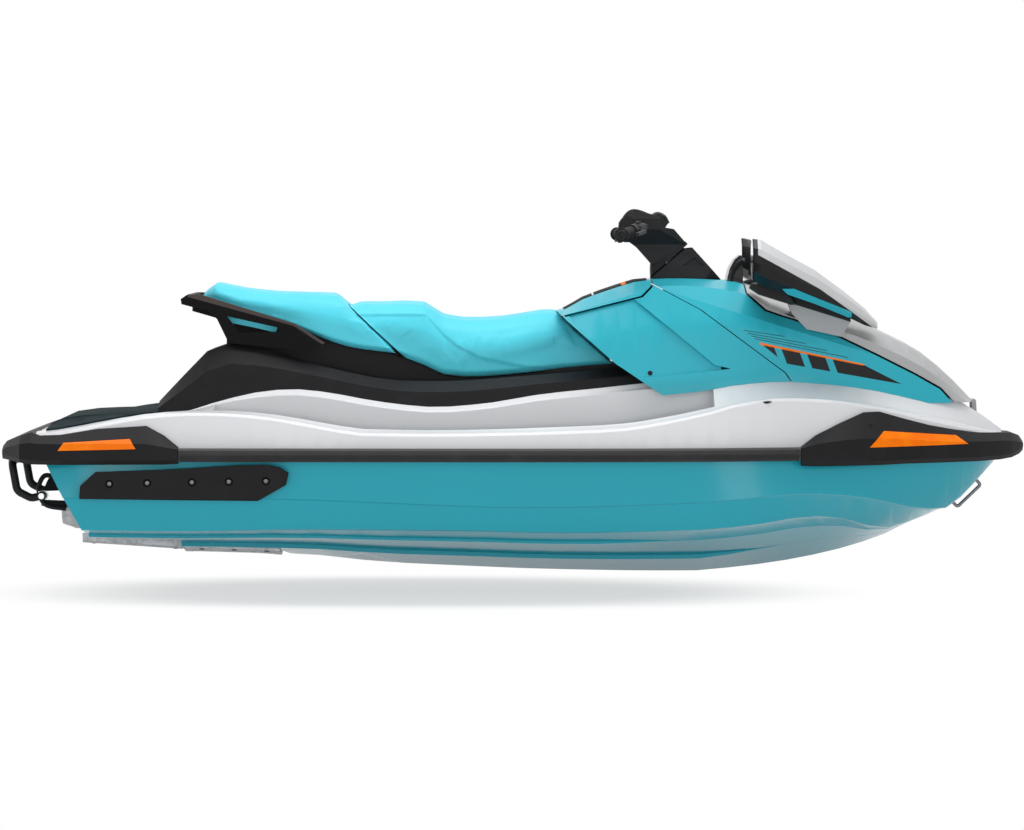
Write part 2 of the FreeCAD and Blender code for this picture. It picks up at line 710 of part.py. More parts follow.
def swollen(points, grow):
    """Outline points moved away from their middle by about a distance."""
    cx = sum(p[0] for p in points) / len(points)
    cz = sum(p[1] for p in points) / len(points)
    moved = []
    for x, z in points:
        moved.append((x + math.copysign(grow, x - cx), z + math.copysign(grow, z - cz)))
    return moved


def make_bumper(name, insert_name, table, outline_shares):
    """One bumper round an end of the craft, with a coloured insert let in on each side."""
    start, end = table[0][0], table[-1][0]
    deck, hull = deck_body(GAP, start, end), hull_body(size("bumper_relief"), start, end)
    body = bumper_body(table).cut(deck).cut(hull)
    body = body.cut(inlay(table, outline_shares, GAP))
    keep(name, largest(body, 2))
    insert = inlay(table, outline_shares, 0.0)
    keep(insert_name, insert.cut(deck_body(2 * GAP, start, end)).cut(NODES[name].Shape), False)


def largest(shape, count):
    """Keep only the main solids of a cut and leave out slivers."""
    solids = sorted(shape.Solids, key=lambda solid: -solid.Volume)
    chosen = [solid for solid in solids[:count] if solid.Volume > solids[0].Volume / 40]
    return chosen[0] if len(chosen) == 1 else Part.makeCompound(chosen)


SPONSON_SHARES = [
    (-0.4173, 0.092), (-0.4164, 0.264), (-0.4018, 0.336), (-0.3394, 0.368),
    (-0.271, 0.432), (-0.2439, 0.436), (-0.2319, 0.404), (-0.2239, 0.332),
    (-0.2263, 0.28), (-0.2534, 0.072)]


def make_sponsons():
    """Side floats that follow the hull: a wide lower step and a narrower upper face."""
    start, end = SPONSON_SHARES[0][0], SPONSON_SHARES[7][0]
    window = prism(shares_to_points(SPONSON_SHARES), HALF / 2, HALF + OVER)
    bevel = size("sponson_proud") / 2
    crown = prism(swollen(shares_to_points(SPONSON_SHARES), -bevel), HALF / 2, HALF + OVER)
    base = window.common(hull_body(bevel, start, end))
    face = crown.common(hull_body(size("sponson_proud"), start, end))
    plate = base.fuse(face).cut(hull_body(GAP, start, end))
    keep("sponsons", both(largest(plate, 1)), False)


def make_surround(rear, front):
    """Side panels below the seats with the pedestal that carries them."""
    rows = []
    start, end = SURROUND_RISE_SHARES[0][0] * LENGTH, SURROUND_RISE_SHARES[-1][0] * LENGTH
    inset = size("surround_inset")
    for x in stations(start, end, SURROUND_STATIONS):
        low, high = deck_z(x) - 2 * size("pedestal_lip"), surround_z(x)
        foot = pedestal_y(x) - inset
        knee = low + (high - low) * KNEE_SHARE
        rows.append((x, mirrored([(0.0, low), (foot, low), (foot * KNEE_WIDTH_SHARE, knee),
                                  (foot * SURROUND_TOP_SHARE, high), (0.0, high)])))
    body = loft(rows)
    pedestal = pedestal_body().cut(lowered(rear)).cut(lowered(front))
    pedestal = pedestal.cut(split_band())
    body = body.fuse(largest(pedestal, 2))
    body = body.cut(deck_body(GAP, SURROUND_RISE_SHARES[0][0], SURROUND_RISE_SHARES[-1][0]))
    for seat in (rear, front):
        body = body.cut(lowered(seat)).cut(seat)
    body = body.cut(seam_front()).cut(tray_box(GAP))
    keep("seat_surround", largest(body, 1))


def lowered(shape):
    moved = shape.copy()
    moved.translate(Vector(0, 0, -GAP))
    return moved


def raised(shape):
    moved = shape.copy()
    moved.translate(Vector(-GAP, 0, 2 * GAP))
    return moved


SURROUND_TOP_SHARE = 0.76
KNEE_SHARE = 0.66
KNEE_WIDTH_SHARE = 0.94
SURROUND_STATIONS = 22


def pedestal_body():
    """Narrow pedestal under both seats."""
    rows = []
    half = size("seat_pedestal") / 2
    for place, low_share, _, _ in REAR_SEAT_SHARES[3:9] + FRONT_SEAT_SHARES[1:]:
        x = place * LENGTH
        low = deck_z(x) + size("pin_proud")
        high = low_share * DECK + size("surround_inset")
        rows.append((x, mirrored([(0.0, low), (half, low), (half, high), (0.0, high)])))
    return loft(sorted(rows, key=lambda row: row[0]))


def split_band():
    """Space around the split between the seats, kept free below it."""
    gap = size("panel_gap")
    band = split_front(-gap).cut(split_front(gap))
    low = line(column(REAR_SEAT_SHARES, 1), DECK)(SPLIT_SHARES[1][0] * LENGTH)
    return band.common(box(STERN, LENGTH, -HALF, HALF, low - gap, 4 * DECK))


SEAM_SHARES = [(0.0439, 2.356), (0.0943, 1.76), (0.1245, 1.49)]
SPLIT_SHARES = [(-0.1678, 2.5), (-0.1149, 1.84)]


def seam_outline(shift):
    """Outline of everything ahead of the seam between seat and cowl."""
    points = [(a * LENGTH + shift, b * DECK) for a, b in SEAM_SHARES]
    first, last = points[0], points[-1]
    upper = (first[0] - (points[1][0] - first[0]) / 2, first[1] + (first[1] - points[1][1]) / 2)
    lower = (last[0] + (last[0] - points[1][0]), last[1] - (points[1][1] - last[1]))
    return [upper] + points + [lower]


def seam_front(shift=0.0):
    points = seam_outline(shift)
    far = LENGTH / 2
    outline = points + [(far, points[-1][1]), (far, 4 * DECK), (points[0][0], 4 * DECK)]
    return prism(outline, -HALF, HALF)


def split_front(shift):
    """Everything ahead of the slanted split between the two seats."""
    (xa, za), (xb, zb) = shares_to_points(SPLIT_SHARES)
    dx, dz = xb - xa, za - zb
    top = (xa - dx + shift, za + dz)
    low = (xb + dx + shift, zb - dz)
    return prism([top, low, (LENGTH / 2, low[1]), (LENGTH / 2, top[1])], -HALF, HALF)


def seat_section(table, x):
    low, top = line(column(table, 1), DECK)(x), line(column(table, 2), DECK)(x)
    half = line(column(table, 3), size("seat_width") / 2)(x)
    tall = top - low
    return x, mirrored([(half * across, low + tall * up) for across, up in SEAT_SECTION_SHARES])


SEAT_SECTION_SHARES = [(0.0, 0.0), (0.9, 0.0), (1.0, 0.12), (0.97, 0.52), (0.84, 0.8),
                       (0.6, 0.95), (0.0, 1.0)]


def seat_body(table):
    start, end = table[0][0] * LENGTH, table[-1][0] * LENGTH
    return loft([seat_section(table, x) for x in stations(start, end, SEAT_STATIONS)])


SEAT_STATIONS = 15


def make_seats():
    rear = seat_body(REAR_SEAT_SHARES)
    front = seat_body(FRONT_SEAT_SHARES)
    gap = size("panel_gap")
    rear = rear.cut(split_front(-gap / 2))
    front = front.common(split_front(gap / 2)).cut(seam_front(-gap))
    for name, body in (("rear_seat", rear), ("front_seat", front)):
        keep(name, largest(body, 1))
    return NODES["rear_seat"].Shape, NODES["front_seat"].Shape


def tray_box(grow):
    start = STERN + size("tray_place")
    half = size("tray_width") / 2 + grow
    top = line(column(REAR_SEAT_SHARES, 1), DECK)
    floor = top(start) - size("tray_depth") - grow
    return box(start - grow, start + size("tray_length") + grow, -half, half, floor, 3 * DECK)


def make_tray():
    wall = size("tray_wall")
    start = STERN + size("tray_place")
    top = line(column(REAR_SEAT_SHARES, 1), DECK)
    outer = tray_box(0.0)
    half = size("tray_width") / 2 - wall
    floor = top(start) - size("tray_depth") + wall
    inner = box(start + wall, start + size("tray_length") - wall, -half, half, floor, 4 * DECK)
    level = top(start + size("tray_length")) - size("panel_gap")
    lid = box(STERN, LENGTH, -HALF, HALF, level, 5 * DECK)
    keep("seat_tray", outer.cut(inner).cut(lid))


def body_section(x, grow=0.0):
    """Upper body section: foot on the deck, waist, shoulder and crown."""
    foot = FOOT_SHARE * crease_y(x)
    low = gunwale_z(x) - OVER
    deck = deck_z(x)
    shoulder, rise, top = body_y(x), shoulder_z(x), body_z(x)
    mid = deck + (rise - deck) * MID_SHARE
    waist = foot + (shoulder - foot) * MID_SHARE * MID_SHARE
    return mirrored([(0.0, low), (foot + grow, low), (foot + grow, deck),
                     (waist + grow, mid), (shoulder + grow, rise),
                     (shoulder * CROWN_SHARE, top - (top - rise) * CROWN_SHARE / 4 + grow),
                     (0.0, top + grow)])


FOOT_SHARE = 0.68
MID_SHARE = 0.6
CROWN_SHARE = 0.6


def upper_body(grow=0.0, start=-1.0, end=1.0):
    return stored(BODY_SPAN_SHARES, body_section, (grow, start, end))


COWL_SEAM_SHARES = [(0.129, 3.2), (0.1316, 2.784), (0.1776, 2.456), (0.2603, 1.632),
                    (0.277, 1.3)]
HOOD_SEAM_SHARES = [(0.2179, 3.3), (0.2239, 2.672), (0.2421, 2.456), (0.254, 2.4),
                    (0.2985, 2.212), (0.349, 1.888), (0.3896, 1.616), (0.4158, 1.42),
                    (0.4418, 1.05), (0.46, 0.9), (0.46, 3.3)]
LID_SEAM_SHARES = [(0.02, 2.29), (0.043, 2.372), (0.1203, 2.636), (0.1301, 2.77),
                   (0.1301, 3.3), (0.02, 3.3)]
RECESS_SHARES = [(0.051, 2.368), (0.1206, 2.488), (0.18, 1.888), (0.1961, 1.836),
                 (0.1107, 1.7)]


def shifted(points, dx, dz):
    return [(x + dx, z + dz) for x, z in points]


def region(outline_shares, dx=0.0, dz=0.0):
    outline = shifted(shares_to_points(outline_shares), dx, dz)
    return prism(outline, -HALF - OVER, HALF + OVER)


def fore_region(shift):
    points = shifted(shares_to_points(COWL_SEAM_SHARES), shift, 0.0)
    low, high = points[-1][1] - DECK, points[0][1]
    points = points + [(points[-1][0], low), (LENGTH / 2, low), (LENGTH / 2, high)]
    return prism(points, -HALF - OVER, HALF + OVER)


def knee_recess():
    """Sloped-sided pocket in each side cowl for the riders' knees."""
    depth, slope = size("recess_depth"), size("recess_slope")
    points = shares_to_points(RECESS_SHARES)
    rows = []
    for y, grow in ((HALF / 4, -slope * depth), (HALF, slope * 2 * depth)):
        rows.append(Part.makePolygon([Vector(x, y, z) for x, z in closed(swollen(points, grow))]))
    pocket = Part.makeLoft(rows, True, True)
    pocket = pocket.cut(upper_body(-depth, RECESS_SHARES[0][0], RECESS_SHARES[3][0]))
    return both(pocket)


def closed(points):
    return points + points[:1]


def make_panels():
    """Side cowls, front cowl, hood and glovebox lid, all cut from one smooth body."""
    gap = size("panel_gap")
    shell = upper_body().cut(deck_body(GAP, BODY_SPAN_SHARES[0], 1.0))
    shell = shell.cut(upper_body(-size("panel_wall"))).common(seam_front())
    hood = shell.common(region(HOOD_SEAM_SHARES))
    lid = shell.common(region(LID_SEAM_SHARES))
    rest = shell.cut(region(HOOD_SEAM_SHARES, -gap, -gap)).cut(region(LID_SEAM_SHARES, gap, -gap))
    fore = rest.common(fore_region(gap / 2))
    side = rest.cut(fore_region(-gap / 2)).cut(knee_recess())
    leaf, barrel = hinge_leaf()
    keep("hood", largest(hood, 1).fuse(leaf).fuse(barrel).cut(hinge_rod(size("hinge_bore"), 1.0)))
    keep("glovebox_lid", largest(lid, 1))
    keep("front_cowl", largest(fore, 1))
    keep("side_cowls", largest(side, 2), False)


def hinge_rod(diameter, reach_share):
    """Round bar on the axis of the hood's hinge, in lengths of the hinge."""
    x, z = STERN + size("hinge_place"), size("hinge_height")
    half = size("hinge_width") / 2 * reach_share
    return rod(Vector(x, -half, z), Vector(x, half, z), diameter / 2)


def hinge_leaf():
    """Barrel of the hood's hinge, and the leaf that joins it to the hood."""
    x, z = STERN + size("hinge_place"), size("hinge_height")
    half, leaf = size("hinge_width") / 2, size("hinge_leaf")
    leaf = box(x - size("hinge_barrel"), x, -half, half, z - leaf, z)
    return leaf, hinge_rod(size("hinge_barrel"), 1.0)


def make_hinge():
    """Two ears on the deck, and the pin that carries the hood's barrel."""
    x, z = STERN + size("hinge_place"), size("hinge_height")
    radius, ear = size("hinge_barrel") / 2, size("hinge_ear")
    inner = size("hinge_width") / 2 + size("pin_proud")
    foot = z - size("hinge_foot")
    outline = [(x - radius, z), (x + radius, z), (x + 2 * radius, foot), (x - radius, foot)]
    side = prism(outline, inner, inner + ear).fuse(rod(Vector(x, inner, z),
                                                       Vector(x, inner + ear, z), radius))
    reach = 2 * (inner + ear) / size("hinge_width")
    ears = both(side).cut(deck_body(GAP, HINGE_SPAN_SHARES[0], HINGE_SPAN_SHARES[1]))
    keep("hood_hinge", largest(ears, 2).fuse(hinge_rod(size("hinge_pin"), reach)))


HINGE_SPAN_SHARES = (0.43, 0.478)


def open_box(x0, x1, half, z0, z1, wall):
    outer = box(x0, x1, -half, half, z0, z1)
    return outer.cut(box(x0 + wall, x1 - wall, -half + wall, half - wall, z0 + wall, z1 + wall))


def make_bins():
    wall = size("bin_wall")
    start = STERN + size("bin_place")
    end = start + size("bin_length")
    top = deck_z(end) - GAP
    bow = open_box(start, end, size("bin_width") / 2, size("bin_floor"), top, wall)
    keep("bow_bin", bow)
    start = STERN + size("glove_place")
    end = start + size("glove_length")
    top = size("glove_rim")
    floor = top - size("glove_depth")
    glove = open_box(start, end, size("glove_width") / 2, floor, top, wall)
    rim = box(start - wall, end + wall, -HALF, HALF, top - wall, top)
    rim = rim.common(upper_body(-size("panel_wall") - GAP))
    rim = rim.cut(box(start + wall, end - wall, -size("glove_width") / 2 + wall,
                      size("glove_width") / 2 - wall, floor, top + wall))
    keep("glovebox_bin", glove.fuse(rim))


# Mirror pod: place, bottom, top, and the nearer and farther half breadths
MIRROR_SHARES = [
    (0.2275, 2.84, 3.38, 0.5, 0.75), (0.2345, 2.78, 3.37, 0.49, 0.785),
    (0.2412, 2.74, 3.31, 0.48, 0.8), (0.2612, 2.66, 3.16, 0.455, 0.785),
    (0.2872, 2.54, 2.976, 0.41, 0.72), (0.3152, 2.39, 2.708, 0.36, 0.62),
    (0.338, 2.25, 2.47, 0.31, 0.5), (0.351, 2.2, 2.29, 0.29, 0.4)]
# Pod section: share of the breadth out from the nearer side, and of the height
POD_SHARES = [(0.0, 0.25), (0.3, 0.04), (0.7, 0.0), (0.93, 0.22), (1.0, 0.46), (0.9, 0.78),
              (0.66, 1.0), (0.3, 0.98), (0.0, 0.8)]
MIRROR_INSERT_SHARES = [(0.2543, 2.736), (0.2654, 2.74), (0.3233, 2.43), (0.3242, 2.36),
                        (0.3152, 2.35), (0.2812, 2.5), (0.2672, 2.58)]
MIRROR_STAY_SHARES = [(0.2543, 2.85), (0.2654, 2.85), (0.3233, 2.5), (0.3242, 2.3),
                      (0.3152, 2.1), (0.2812, 2.2), (0.2672, 2.4)]
STAY_SHARES = (0.34, 0.45)


def mirror_section(row, grow=0.0):
    place, low, high, near, far = row
    inner, reach = near * HALF, (far - near) * HALF + grow
    z0, z1 = low * DECK - grow, high * DECK + grow
    points = [(inner + reach * out, z0 + (z1 - z0) * up) for out, up in POD_SHARES]
    return place * LENGTH, points


def mirror_body(grow=0.0):
    return loft([mirror_section(row, grow) for row in MIRROR_SHARES])


def make_mirrors():
    """Mirror pods with coloured inserts, their panes, and the stays on the hood."""
    window = prism(shares_to_points(MIRROR_INSERT_SHARES), size("display_width"), HALF)
    depth = size("mirror_insert_depth")
    insert = mirror_body(GAP).common(window).cut(mirror_body(-depth))
    socket = prism(widened(shares_to_points(MIRROR_INSERT_SHARES), GAP), size("display_width"), HALF)
    housing = mirror_body().cut(socket.cut(mirror_body(-depth - GAP)))
    housing = largest(housing, 1)
    back = MIRROR_SHARES[0][0] * LENGTH
    glass = size("mirror_glass")
    x, points = mirror_section(MIRROR_SHARES[0])
    pane = loft([(back - glass - GAP, points), (back - GAP, points)])
    stay = prism(shares_to_points(MIRROR_STAY_SHARES), STAY_SHARES[0] * HALF, STAY_SHARES[1] * HALF)
    stay = stay.cut(lowered(mirror_body(GAP))).cut(mirror_body(GAP)).cut(upper_body(GAP, 0.24, 0.35))
    keep("mirror_housings", both(housing), False)
    keep("mirror_inserts", both(largest(insert, 1)), False)
    keep("mirror_glass", both(pane), False)
    keep("mirror_stays", both(largest(stay, 1)), False)


COVER_SHARES = [(0.1301, 2.7), (0.1301, 2.844), (0.166, 3.252), (0.1722, 3.26), (0.2, 2.844),
                (0.2, 2.7)]
HEAD_SHARES = [
    (0.1325, 3.03), (0.1173, 3.26), (0.1104, 3.328), (0.1054, 3.328), (0.0976, 3.364),
    (0.1, 3.592), (0.1027, 3.644), (0.1128, 3.756), (0.1206, 3.744), (0.1307, 3.688),
    (0.1361, 3.7), (0.1445, 3.644), (0.1487, 3.588), (0.1454, 3.524), (0.154, 3.504),
    (0.166, 3.32)]
DISPLAY_SHARES = [(0.2061, 2.6), (0.2061, 2.85), (0.2085, 2.98), (0.2135, 3.1), (0.219, 3.16),
                  (0.2215, 3.13), (0.222, 2.6)]
# Breadths at heights, seen from ahead, and at places, seen from above
HEAD_FRONT_SHARES = [(0.31, 2.9), (0.31, 3.3), (0.4, 3.4), (0.5, 3.5), (0.5, 3.64), (0.36, 3.78)]
HEAD_TOP_SHARES = [(0.0955, 0.3), (0.103, 0.44), (0.114, 0.5), (0.14, 0.5), (0.158, 0.36),
                   (0.168, 0.3)]
COVER_FRONT_SHARES = [(0.5, 2.6), (0.5, 2.86), (0.3, 3.27)]
COVER_TOP_SHARES = [(0.125, 0.36), (0.15, 0.5), (0.186, 0.5), (0.205, 0.3)]
COVER_RECESS_SHARES = [(0.1625, 3.02), (0.174, 3.13), (0.1836, 3.02)]
DISPLAY_FRONT_SHARES = [(0.5, 2.5), (0.5, 2.95), (0.4, 3.17)]


def steer_axis():
    lean = math.radians(size("steer_lean"))
    base = Vector(STERN + size("steer_place"), 0, size("steer_height"))
    return base, Vector(-math.sin(lean), 0, math.cos(lean))


def front_view(table, width):
    """Bar along x whose outline, seen from ahead, has the given half breadths at heights."""
    outline = mirrored([(0.0, table[0][1] * DECK)] + [(a * width, b * DECK) for a, b in table]
                       + [(0.0, table[-1][1] * DECK)])
    return loft([(STERN, outline), (LENGTH, outline)])


def top_view(table, width):
    """Upright block whose outline, seen from above, has the given half breadths at places."""
    half = [(a * LENGTH, b * width) for a, b in table]
    outline = half + [(x, -y) for x, y in reversed(half)]
    face = Part.Face(Part.makePolygon([Vector(x, y, 0) for x, y in closed(outline)]))
    return face.extrude(Vector(0, 0, 5 * DECK))


def cover_body(width):
    side = prism(shares_to_points(COVER_SHARES), -width, width)
    return side.common(front_view(COVER_FRONT_SHARES, width)).common(top_view(COVER_TOP_SHARES, width))


def make_column():
    """Column cover with a recess in each side, and the display pod ahead of it."""
    width = size("cover_width")
    recess = prism(shares_to_points(COVER_RECESS_SHARES), -width, width)
    recess = recess.cut(cover_body(width - 2 * size("cover_recess")))
    body = cover_body(width).cut(recess).cut(upper_body(GAP, *COWL_TOP_SHARES))
    base, axis = steer_axis()
    foot = size("steer_shaft_foot") + size("panel_gap")
    radius = size("steer_shaft") / 2 + size("bearing_fit")
    hole = rod(base - axis * foot, base + axis * DECK, radius)
    keep("column_cover", largest(body.cut(hole), 1))
    width = size("display_width")
    display = prism(shares_to_points(DISPLAY_SHARES), -width, width)
    display = display.common(front_view(DISPLAY_FRONT_SHARES, width))
    keep("display_pod", largest(display.cut(upper_body(GAP, *COWL_TOP_SHARES)), 1))


COWL_TOP_SHARES = (0.12, 0.24)


BAR_KNEE_SHARE = 0.2


def bar_points(side):
    """Points along one half of the handlebar."""
    base = Vector(STERN + size("bar_place"), 0, size("bar_height"))
    half = size("bar_span") / 2
    grip = Vector(-size("grip_back"), half * side, -size("grip_drop"))
    knee = Vector(-size("grip_back") * BAR_KNEE_SHARE, size("head_width") / 2 * side, 0)
    return base + knee, base + grip


def make_steering():
    """Handlebar with its faceted head, shaft, grips and levers."""
    shaft = steering_shaft()
    width = size("head_width")
    head = prism(shares_to_points(HEAD_SHARES), -width, width)
    head = head.common(front_view(HEAD_FRONT_SHARES, width)).common(top_view(HEAD_TOP_SHARES, width))
    tube = size("bar_tube") / 2
    far_knee, far_end = bar_points(-1)
    near_knee, near_end = bar_points(1)
    bar = bent_bar([far_end, far_knee, near_knee, near_end], tube, size("bar_bend"))
    grips, levers = [], []
    for side, knee, end in ((-1, far_knee, far_end), (1, near_knee, near_end)):
        run = (end - knee).normalize()
        start = end - run * size("grip_length")
        grips.append(grip(start, end, run))
        levers.append(lever(start, run, side))
    keep("handlebar", bar)
    socket = bent_bar([far_end, far_knee, near_knee, near_end], tube + GAP / 4, size("bar_bend"))
    keep("steering_head", largest(head.cut(socket).cut(shaft.Shape), 1))
    keep("grips", Part.makeCompound(grips), False)
    keep("levers", Part.makeCompound(levers), False)


def steering_shaft():
    """Steering shaft, a plain bar on the steering axis."""
    foot = "Sizes.steer_shaft_foot"
    shaft = bind(doc.addObject("Part::Cylinder", "steering_shaft"), Radius="Sizes.steer_shaft / 2",
                 Height=f"{foot} + Sizes.steer_shaft_head")
    put(shaft, f"{STERN_CELL} + Sizes.steer_place + {foot} * sin(Sizes.steer_lean)", "0",
        f"Sizes.steer_height - {foot} * cos(Sizes.steer_lean)", Vector(0, -1, 0), 1)
    bind(shaft, Placement__Rotation__Angle="Sizes.steer_lean")
    doc.recompute()
    return keep_bound("steering_shaft", shaft)


def grip(start, end, run):
    """One grip with a flange at each end, bored for the bar."""
    width, tube = size("flange_width"), size("bar_tube") / 2
    body = rod(start, end + run * width, size("grip_diameter") / 2)
    for foot in (start, end):
        body = body.fuse(rod(foot, foot + run * width, size("grip_flange") / 2))
    return body.cut(rod(start - run, end, tube + GAP / 4))


def lever(start, run, side):
    """Clamp and flat lever ahead of one grip."""
    thick = size("lever_thickness")
    tube = size("bar_tube") / 2
    outer = rod(start - run * thick * CLAMP_SHARE, start - run * GAP, tube * 2)
    clamp = outer.cut(rod(start - run * thick * 4, start + run * thick, tube + GAP / 4))
    root = start - run * thick * ROOT_SHARES[0] + Vector(tube * ROOT_SHARES[1], 0, 0)
    ahead = Vector(thick, 0, 0)
    elbow = root + ahead * 2 + run * thick * 2
    tip = elbow + run * size("lever_length")
    outline = [root - run * thick, elbow + ahead - run * thick, tip + ahead, tip, elbow, root]
    low = Vector(0, 0, -thick / 2)
    wire = Part.makePolygon([point + low for point in outline + outline[:1]])
    blade = Part.Face(wire).extrude(Vector(0, 0, thick))
    blade = blade.cut(rod(start - run * thick * 4, start + run * thick, tube * 2 + GAP))
    return Part.makeCompound([clamp, largest(blade, 1)])


CLAMP_SHARE = 2.5
ROOT_SHARES = (1.3, 1.6)


PUMP_END = STERN_CELL + " + Sizes.tunnel_length - Sizes.fit_gap"


def pin(name, diameter, length, grow):
    return bind(doc.addObject("Part::Cylinder", name), Radius=f"{diameter} / 2 + {grow}",
                Height=length)


def yaw_pins(name, grow="0"):
    """Upper and lower pivot pins of the steering nozzle."""
    start = "(Sizes.nozzle_mouth + Sizes.nozzle_wall) / 2"
    place = STERN_CELL + " + Sizes.pivot_place"
    length = "Sizes.nozzle_wall + Sizes.steer_nozzle_lead + 2 * Sizes.pin_proud"
    pins = []
    for label, way, turn in (("upper", "+", 0), ("lower", "-", 180)):
        made = pin(f"{name}_{label}", "Sizes.yaw_pin", length, grow)
        pins.append(put(made, place, "0", f"Sizes.pump_height {way} {start}", Vector(1, 0, 0), turn))
    return joined(name, pins)


def bucket_pins(name, grow="0"):
    """Pivot pins of the reverse bucket, one each side of the outlet cone."""
    start = "(Sizes.nozzle_mouth + Sizes.pump_bore) / 4"
    place = STERN_CELL + " + Sizes.bucket_place"
    length = f"Sizes.bucket_width / 2 + Sizes.pin_proud - {start}"
    pins = []
    for label, way, turn in (("port", "", -90), ("starboard", "-", 90)):
        made = pin(f"{name}_{label}", "Sizes.bucket_pin", length, grow)
        pins.append(put(made, place, f"{way}{start}", "Sizes.pump_height", Vector(1, 0, 0), turn))
    return joined(name, pins)


def make_pump():
    """Pump barrel with its flange, outlet cone, stator hub and vanes, pivot pins and foot."""
    body = doc.addObject("PartDesign::Body", "pump_barrel")
    put(body, PUMP_END + " - Sizes.pump_length - Sizes.nozzle_length", "0", "Sizes.pump_height")
    neck, barrel = "Sizes.nozzle_length / 2", "Sizes.nozzle_length"
    front = "Sizes.nozzle_length + Sizes.pump_length"
    step = front + " - Sizes.flange_length"
    mouth, bore = "Sizes.nozzle_mouth / 2", "Sizes.pump_bore / 2"
    thin, skin = mouth + " + Sizes.nozzle_wall", bore + " + Sizes.pump_wall"
    rim = skin + " + Sizes.pump_flange"
    turned(body, "barrel", [("0", mouth), (neck, mouth), (barrel, bore), (front, bore),
                            (front, rim), (step, rim), (step, skin), (barrel, skin),
                            (neck, thin), ("0", thin)])
    hub = "Sizes.stator_hub / 2"
    ahead = "Sizes.nozzle_length + Sizes.stator_length"
    turned(body, "stator_hub", [(neck, "0"), (ahead, "0"), (ahead, hub), (barrel, hub),
                                (neck, hub + " / 3")])
    inner, outer = hub + " / 2", bore + " + Sizes.pump_wall / 2"
    sketch = outline_sketch(body, "vane_outline", "XY_Plane",
                            [(barrel, inner), (ahead, inner), (ahead, outer), (barrel, outer)])
    vane = body.newObject("PartDesign::Pad", "vane")
    vane.Profile = sketch
    vane.Midplane = True
    vane.setExpression("Length", "Sizes.nozzle_wall")
    doc.recompute()
    repeated(body, vane, "vanes", "Sizes.stator_count")
    foot = bind(doc.addObject("Part::Box", "pump_foot"), Length="Sizes.pump_foot_length",
                Width="Sizes.pump_foot_width",
                Height="Sizes.tunnel_roof - Sizes.fit_gap - Sizes.pump_height"
                       " - Sizes.pump_bore / 2 - Sizes.pump_wall / 4")
    put(foot, PUMP_END + " - Sizes.pump_foot_length - Sizes.pump_foot_setback",
        "-Sizes.pump_foot_width / 2",
        "Sizes.pump_height + Sizes.pump_bore / 2 + Sizes.pump_wall / 4")
    housing = joined("pump_housing", [body, yaw_pins("yaw_pins"), bucket_pins("bucket_pins"), foot])
    keep_bound("pump_housing", housing)


def make_nozzle():
    """Steering nozzle, a tapered ring that hangs on the yaw pins."""
    body = doc.addObject("PartDesign::Body", "nozzle_ring")
    put(body, STERN_CELL + " + Sizes.pivot_place + Sizes.steer_nozzle_lead - Sizes.steer_nozzle_length",
        "0", "Sizes.pump_height")
    middle, front = "Sizes.steer_nozzle_length / 2", "Sizes.steer_nozzle_length"
    wide = "Sizes.nozzle_mouth / 2 + Sizes.nozzle_wall + Sizes.steer_nozzle_lead"
    narrow = "(Sizes.nozzle_mouth + Sizes.nozzle_wall) / 2"
    turned(body, "ring", [("0", narrow), (middle, wide), (front, wide),
                          (front, wide + " + Sizes.nozzle_wall"),
                          (middle, wide + " + Sizes.nozzle_wall"),
                          ("0", narrow + " + Sizes.nozzle_wall")])
    bores = yaw_pins("yaw_bores", "Sizes.pin_fit")
    keep_bound("steering_nozzle", carved("steering_nozzle", body, bores))


def blade_sketch(body, name, level, pitch):
    half, thick = "Sizes.blade_chord / 2", "Sizes.blade_thickness / 2"
    sketch = outline_sketch(body, name, "XY_Plane", [
        ("-" + half, "-" + thick), (half, "-" + thick), (half, thick), ("-" + half, thick)])
    sketch.AttachmentOffset = Placement(Vector(0, 0, 1), Rotation(Vector(0, 0, 1), 1))
    bind(sketch, AttachmentOffset__Base__z=level, AttachmentOffset__Rotation__Angle=pitch)
    return sketch


